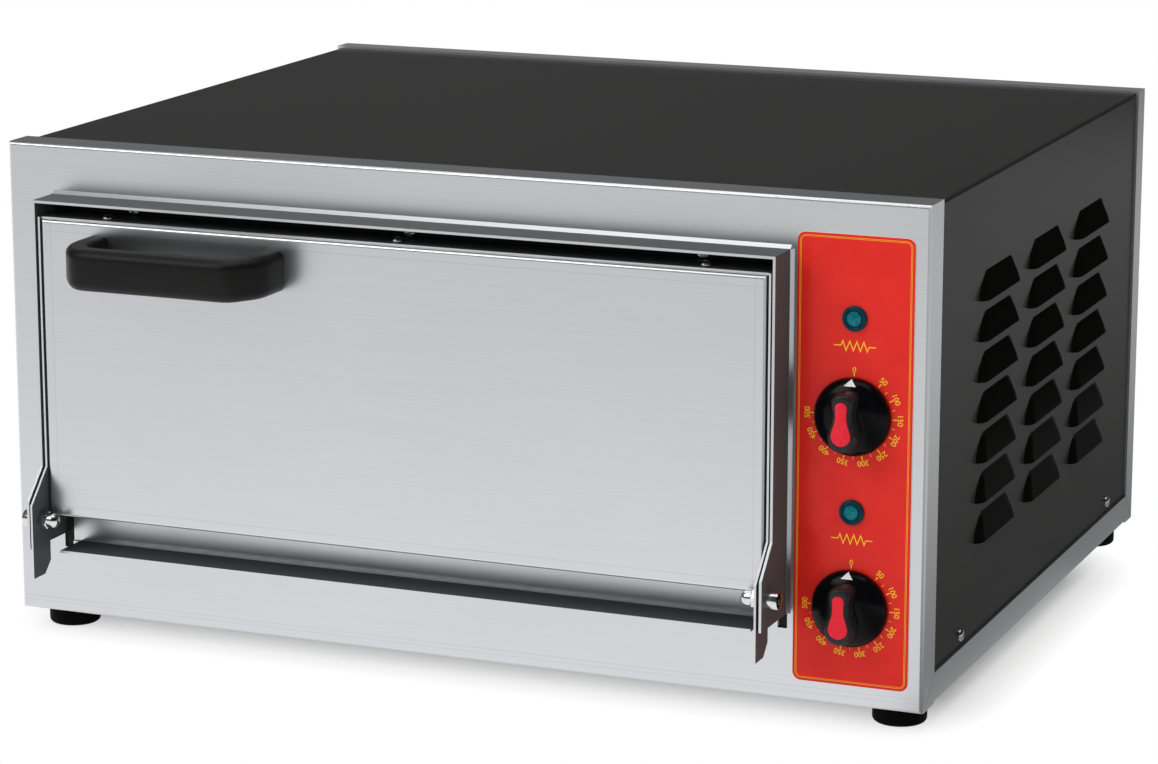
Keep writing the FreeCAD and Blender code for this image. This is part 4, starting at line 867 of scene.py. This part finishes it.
GRIP_STATIONS = ((0.0, 0.0), (0.03, 4.4), (0.09, 6.6), (0.17, 7.9), (0.27, 8.1), (0.40, 6.9),
                 (0.54, 5.6), (0.67, 5.2), (0.80, 5.9), (0.89, 6.2), (0.95, 5.2), (0.985, 3.2),
                 (1.0, 0.0))
GRIP_LAYERS = ((0.0, 4.0), (0.0, 19.6), (0.25, 20.8), (0.8, 21.6), (1.6, 21.95), (2.4, 22.0))
INSERT_LONG = 24.6
INSERT_STATIONS = ((0.0, 0.0), (0.02, 2.2), (0.08, 4.3), (0.16, 5.4), (0.24, 5.6), (0.36, 4.9),
                   (0.50, 3.7), (0.64, 3.1), (0.78, 3.2), (0.88, 3.4), (0.95, 2.8), (0.985, 1.7),
                   (1.0, 0.0))
INSERT_LAYERS = ((0.0, 21.6), (0.0, 22.4), (0.15, 22.65), (0.5, 22.8))
LOOP_SHARES = [0.5 - 0.5 * math.cos(math.pi * step / 36) for step in range(37)]
POINTER_FOOT = 18.3
POINTER_LONG = 3.45
POINTER_HALF = 3.5
POINTER_STEPS = 6
POINTER_PROUD = 0.12
POINTER_DEEP = 0.3


def half_at(stations, share, eased):
    """Half a width at a share of the length, in straight or eased runs between stations."""
    for (start, low), (end, high) in zip(stations, stations[1:]):
        if share <= end:
            part = (share - start) / (end - start)
            if eased:
                part = part * part * (3 - 2 * part)
            return low + (high - low) * part
    return 0.0


def waisted(stations, length, draw, eased, end_draw):
    """An outline about the knob's axis, wide below and slim above, drawn in by a margin."""
    tall = length - 2 * draw
    right = []
    for share in LOOP_SHARES:
        margin = draw if 0.05 < share < 0.95 else end_draw
        right.append((max(half_at(stations, share, eased) - margin, 0.0), tall * (share - 0.5)))
    return right + [(-x, z) for x, z in reversed(right[1:-1])]


def grip_outline(draw):
    """The grip's outline, which keeps a little more of its ends."""
    return waisted(GRIP_STATIONS, GRIP_LONG, draw, True, draw * 0.8)


def insert_outline(draw):
    """The red insert's outline."""
    return waisted(INSERT_STATIONS, INSERT_LONG, draw, False, draw)


def layered(outline, layers, middle):
    """Points and faces of an outline laid in layers forward of the knob's back."""
    points = []
    for draw, out in layers:
        points += [(CONTROL_X + x, KNOB_BACK - out, middle + z) for x, z in outline(draw)]
    return points, banded(len(layers), len(points) // len(layers))


def dome_height(radius):
    """How far the skirt's dome stands in front of the knob's back."""
    return DOME_FOOT + DOME_RISE * math.sqrt(max(1 - (radius / DOME_RADIUS) ** 2, 0.0))


skirt_profile = [(0, 6.0), (8.75, 6.0), (8.75, 0.0), (21.2, 0.0), (21.8, 0.4), (22.0, 1.2),
                 (21.95, DOME_FOOT)]
for angle in range(6, 90, 6):
    skirt_profile.append((DOME_RADIUS * math.cos(math.radians(angle)),
                          DOME_FOOT + DOME_RISE * math.sin(math.radians(angle))))
skirt_profile.append((0, DOME_FOOT + DOME_RISE))
pointer_rows = []
for step in range(POINTER_STEPS + 1):
    share = step / POINTER_STEPS
    radius = POINTER_FOOT + POINTER_LONG * share
    pointer_rows.append((POINTER_HALF * (1 - share), dome_height(radius) + POINTER_PROUD, radius))
under = 2 * len(pointer_rows)
pointer_faces = []
for a in range(0, 2 * POINTER_STEPS, 2):
    b = under + a
    pointer_faces += [(a, a + 1, a + 3, a + 2), (b, b + 2, b + 3, b + 1),
                      (a, a + 2, b + 2, b), (a + 1, b + 1, b + 3, a + 3)]
pointer_faces.append((0, under, under + 1, 1))
for level, middle in KNOB_HEIGHTS.items():
    form = shape("skirt", *turned(skirt_profile, 96), knob_gloss, placed=False, sharp=50.0)
    skirt = set_out(level + "_knob_skirt", form, [(CONTROL_X, KNOB_BACK, middle)],
                    [facing((0, -1, 0))], knob_gloss, sharp=50.0)
    bpy.data.objects.remove(form)
    grip = shape(level + "_knob_grip", *layered(grip_outline, GRIP_LAYERS, middle), grip_grey,
                 sharp=45.0)
    insert = shape(level + "_knob_plate", *layered(insert_outline, INSERT_LAYERS, middle),
                   insert_red, sharp=45.0)
    pointer_points = [(CONTROL_X + side * half, KNOB_BACK - out + deep, middle + radius)
                      for deep in (0.0, POINTER_DEEP) for half, out, radius in pointer_rows
                      for side in (-1, 1)]
    pointer = shape(level + "_knob_pointer", pointer_points, pointer_faces, pointer_white)
    for piece, slot in ((skirt, "knob_plastic"), (grip, "knob_plastic"),
                        (insert, "insert_plastic"), (pointer, "knob_plastic")):
        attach(piece, level + "_dial")
    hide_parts(level + "_knob")
    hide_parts(level + "_knob_insert")

# Inside: aluminised chamber, stone hearth on angle rails, sheathed heating rods in their holders,
# mineral wool round the chamber, and the controls in the bay behind the label.
chamber_steel = grained("chamber_steel", (0.34, 0.34, 0.34), (0.46, 0.46, 0.45), (0.34, 0.52),
                        40.0, stretch=(1, 1, 3), metallic=1.0, bump=0.10)
dress(chamber_steel, "chamber_shell", "chamber_supports", "stone_rails", "bay_partition",
      "upper_element_hangers", "lower_element_saddles")
hearth_stone = grained("hearth_stone", (0.46, 0.38, 0.28), (0.64, 0.55, 0.43), (0.80, 0.95), 260.0,
                       bump=0.5, depth=0.0004, specular=0.2)
dress(hearth_stone, "baking_stone")
heater_sheath = grained("heater_sheath", (0.055, 0.052, 0.050), (0.12, 0.11, 0.10), (0.40, 0.60),
                        160.0, metallic=0.9, bump=0.15)
dress(heater_sheath, "upper_element", "lower_element")
mineral_wool = grained("mineral_wool", (0.50, 0.45, 0.28), (0.72, 0.67, 0.48), (0.9, 1.0), 320.0,
                       stretch=(1, 1, 3), bump=0.8, depth=0.001, specular=0.1)
dress(mineral_wool, "insulation_top", "insulation_bottom", "insulation_left", "insulation_right",
      "insulation_rear", "door_insulation")
steatite = grained("steatite", (0.66, 0.63, 0.56), (0.78, 0.76, 0.70), (0.45, 0.6), 300.0, bump=0.2)
dress(steatite, "element_bushings")
moulded_white = grained("moulded_white", (0.62, 0.62, 0.60), (0.72, 0.72, 0.70), (0.35, 0.5),
                        500.0, bump=0.08)
dress(moulded_white, "upper_thermostat", "lower_thermostat", "upper_pilot_lamp",
      "lower_pilot_lamp", "terminal_block")
turned_brass = grained("turned_brass", (0.52, 0.36, 0.13), (0.66, 0.48, 0.20), (0.25, 0.4), 400.0,
                       metallic=1.0)
dress(turned_brass, "upper_bush_nut", "lower_bush_nut", "upper_sensing_bulb", "lower_sensing_bulb")
dress(bright_zinc, "upper_shaft", "lower_shaft")
gland_nylon = grained("gland_nylon", (0.012, 0.012, 0.012), (0.024, 0.024, 0.023), (0.38, 0.52),
                      700.0, bump=0.12)
dress(gland_nylon, "cable_gland", "gland_nut")

# Studio: a pale seamless floor, a soft lamp from the front left and one overhead, and an even
# surround. What the metal mirrors is white paper low in front, with a painted shadow on it beside
# the oven, and a dim room above.
WHITE = (1.0, 1.0, 1.0)
PAPER = (0.87, 0.87, 0.87), (0.89, 0.89, 0.89)
UNLIT = (0.02, 0.02, 0.02)
DIM_ROOM = (0.11, 0.11, 0.11), (0.012, 0.012, 0.012)
WARM_LIGHT = (1.0, 0.985, 0.965, 1.0)
LIGHT_STRENGTH = 0.72
SHADE_CORE = (0.262, 0.125, 0.0)
SHADE_NARROWER = (1.9, 1.0, 1.0)
FLOOR_HALF = 12


def ray_kinds(tree):
    """One for rays from the camera, and one for rays that a surface mirrors or lets through."""
    rays = tree.nodes.new("ShaderNodeLightPath").outputs
    return rays["Is Camera Ray"], worked(tree, "MAXIMUM", rays["Is Glossy Ray"],
                                         rays["Is Transmission Ray"])


def chosen(tree, share, first, second, output):
    """The first shader where the share is zero, the second where it is one."""
    node = tree.nodes.new("ShaderNodeMixShader")
    for socket, source in enumerate((share, first, second)):
        tree.links.new(source, node.inputs[socket])
    tree.links.new(node.outputs["Shader"], tree.nodes[output].inputs["Surface"])


floor_paper, tree, shader, place = new_finish("floor_paper")
tree.links.new(blended(tree, grain_of(tree, place, 3.0), *PAPER), shader.inputs["Base Color"])
shader.inputs["Roughness"].default_value = 0.9
shader.inputs["Specular IOR Level"].default_value = 0.1
beside = place
for operation, reach in (("ABSOLUTE", None), ("SUBTRACT", SHADE_CORE), ("MAXIMUM", (0, 0, 0)),
                         ("MULTIPLY", SHADE_NARROWER), ("LENGTH", None)):
    away = tree.nodes.new("ShaderNodeVectorMath")
    away.operation = operation
    tree.links.new(beside, away.inputs[0])
    if reach is not None:
        away.inputs[1].default_value = reach
    beside = away.outputs["Value" if operation == "LENGTH" else "Vector"]
distance = beside
outlying = ranged(tree, distance, 0.0, 1.0, 0.0, 0.095)
beyond_edge = ranged(tree, distance, 0.0, 1.0, 0.045, 0.10)
seen_first, mirrored = ray_kinds(tree)
share = worked(tree, "MAXIMUM", worked(tree, "MULTIPLY", seen_first, outlying),
               worked(tree, "MULTIPLY", mirrored, beyond_edge))
at = parts_of(tree, place)
paper_end = ranged(tree, at["Y"], 0.0, 0.98, 1.5, 2.3)
far_front = ranged(tree, at["Y"], 0.20, 0.0, -1.35, -0.55)
# Painted shadow: beside the oven, the paper that the metal mirrors is darkened like the oven's own
# shadow.
painted_shadow_beside_oven = ranged(tree, at["X"], 0.0, 0.80, 0.25, 0.30)
shade_end = ranged(tree, at["X"], 0.0, 0.46, 0.34, 0.66)
shaded = worked(tree, "MAXIMUM", worked(tree, "MAXIMUM", paper_end, far_front),
                worked(tree, "SUBTRACT", painted_shadow_beside_oven, shade_end))
glow = tree.nodes.new("ShaderNodeEmission")
tree.links.new(blended(tree, worked(tree, "MULTIPLY", shaded, mirrored), WHITE, UNLIT),
               glow.inputs["Color"])
chosen(tree, share, shader.outputs["BSDF"], glow.outputs["Emission"], "Material Output")
paper_mesh = bpy.data.meshes.new("floor")
paper_mesh.from_pydata([(x * FLOOR_HALF, y * FLOOR_HALF, 0) for x, y in SQUARE], [],
                       [(0, 1, 2, 3)])
paper_mesh.materials.append(floor_paper)
added("floor", paper_mesh)


def softbox(name, place, aim, side, watts):
    """A square soft lamp at a place, aimed at a point."""
    lamp = bpy.data.lights.new(name, "AREA")
    lamp.shape = "RECTANGLE"
    lamp.size = side
    lamp.size_y = side
    lamp.energy = watts
    fitting = added(name, lamp)
    fitting.location = place
    fitting.rotation_euler = (Vector(aim) - Vector(place)).to_track_quat("-Z", "Y").to_euler()


softbox("front_left_softbox", (-1.6, -2.2, 2.4), (0, 0, 0.15), 1.8, 28)
softbox("overhead_softbox", (0.0, 0.0, 2.8), (0, 0, 0.1), 2.6, 30)
surround = bpy.data.worlds.new("studio")
surround.use_nodes = True
bpy.context.scene.world = surround
tree = surround.node_tree
light = tree.nodes["Background"]
light.inputs["Color"].default_value = WARM_LIGHT
light.inputs["Strength"].default_value = LIGHT_STRENGTH
seen = tree.nodes.new("ShaderNodeBackground")
seen.inputs["Strength"].default_value = 1.0
seen_first, mirrored = ray_kinds(tree)
heading = parts_of(tree, tree.nodes.new("ShaderNodeTexCoord").outputs["Generated"])
front_low = worked(tree, "MULTIPLY", ranged(tree, heading["Z"], 1.0, 0.0, -0.06, 0.05),
                   ranged(tree, heading["Y"], 1.0, 0.0, -0.1, 0.1))
dim_room = blended(tree, ranged(tree, heading["X"], 0.0, 1.0, -0.4, 0.3), *DIM_ROOM)
mirror_tone = blended(tree, front_low, dim_room, WHITE)
tree.links.new(blended(tree, seen_first, mirror_tone, WHITE), seen.inputs["Color"])
chosen(tree, worked(tree, "MAXIMUM", mirrored, seen_first), light.outputs["Background"],
       seen.outputs["Background"], "World Output")

# Camera: at the photograph's side and height, with a long lens and no shift. Its place is given
# in millimetres to the right, up and back along its own axes.
AZIMUTH = math.radians(22.27)
ELEVATION = math.radians(12.80)
STAND_RIGHT, STAND_UP, STAND_BACK = -14.14, 112.69, 2443.8
back = Vector((math.sin(AZIMUTH) * math.cos(ELEVATION), -math.cos(AZIMUTH) * math.cos(ELEVATION),
               math.sin(ELEVATION)))
right = Vector((math.cos(AZIMUTH), math.sin(AZIMUTH), 0.0))
up = back.cross(right)
eye = bpy.data.cameras.new("camera")
eye.sensor_width = 36.0
eye.lens = 119.6
camera = added("camera", eye)
camera.location = metres(right * STAND_RIGHT + up * STAND_UP + back * STAND_BACK)
camera.rotation_euler = Matrix((right, up, back)).transposed().to_euler()
bpy.context.scene.camera = camera
bpy.context.scene.view_settings.view_transform = "Standard"
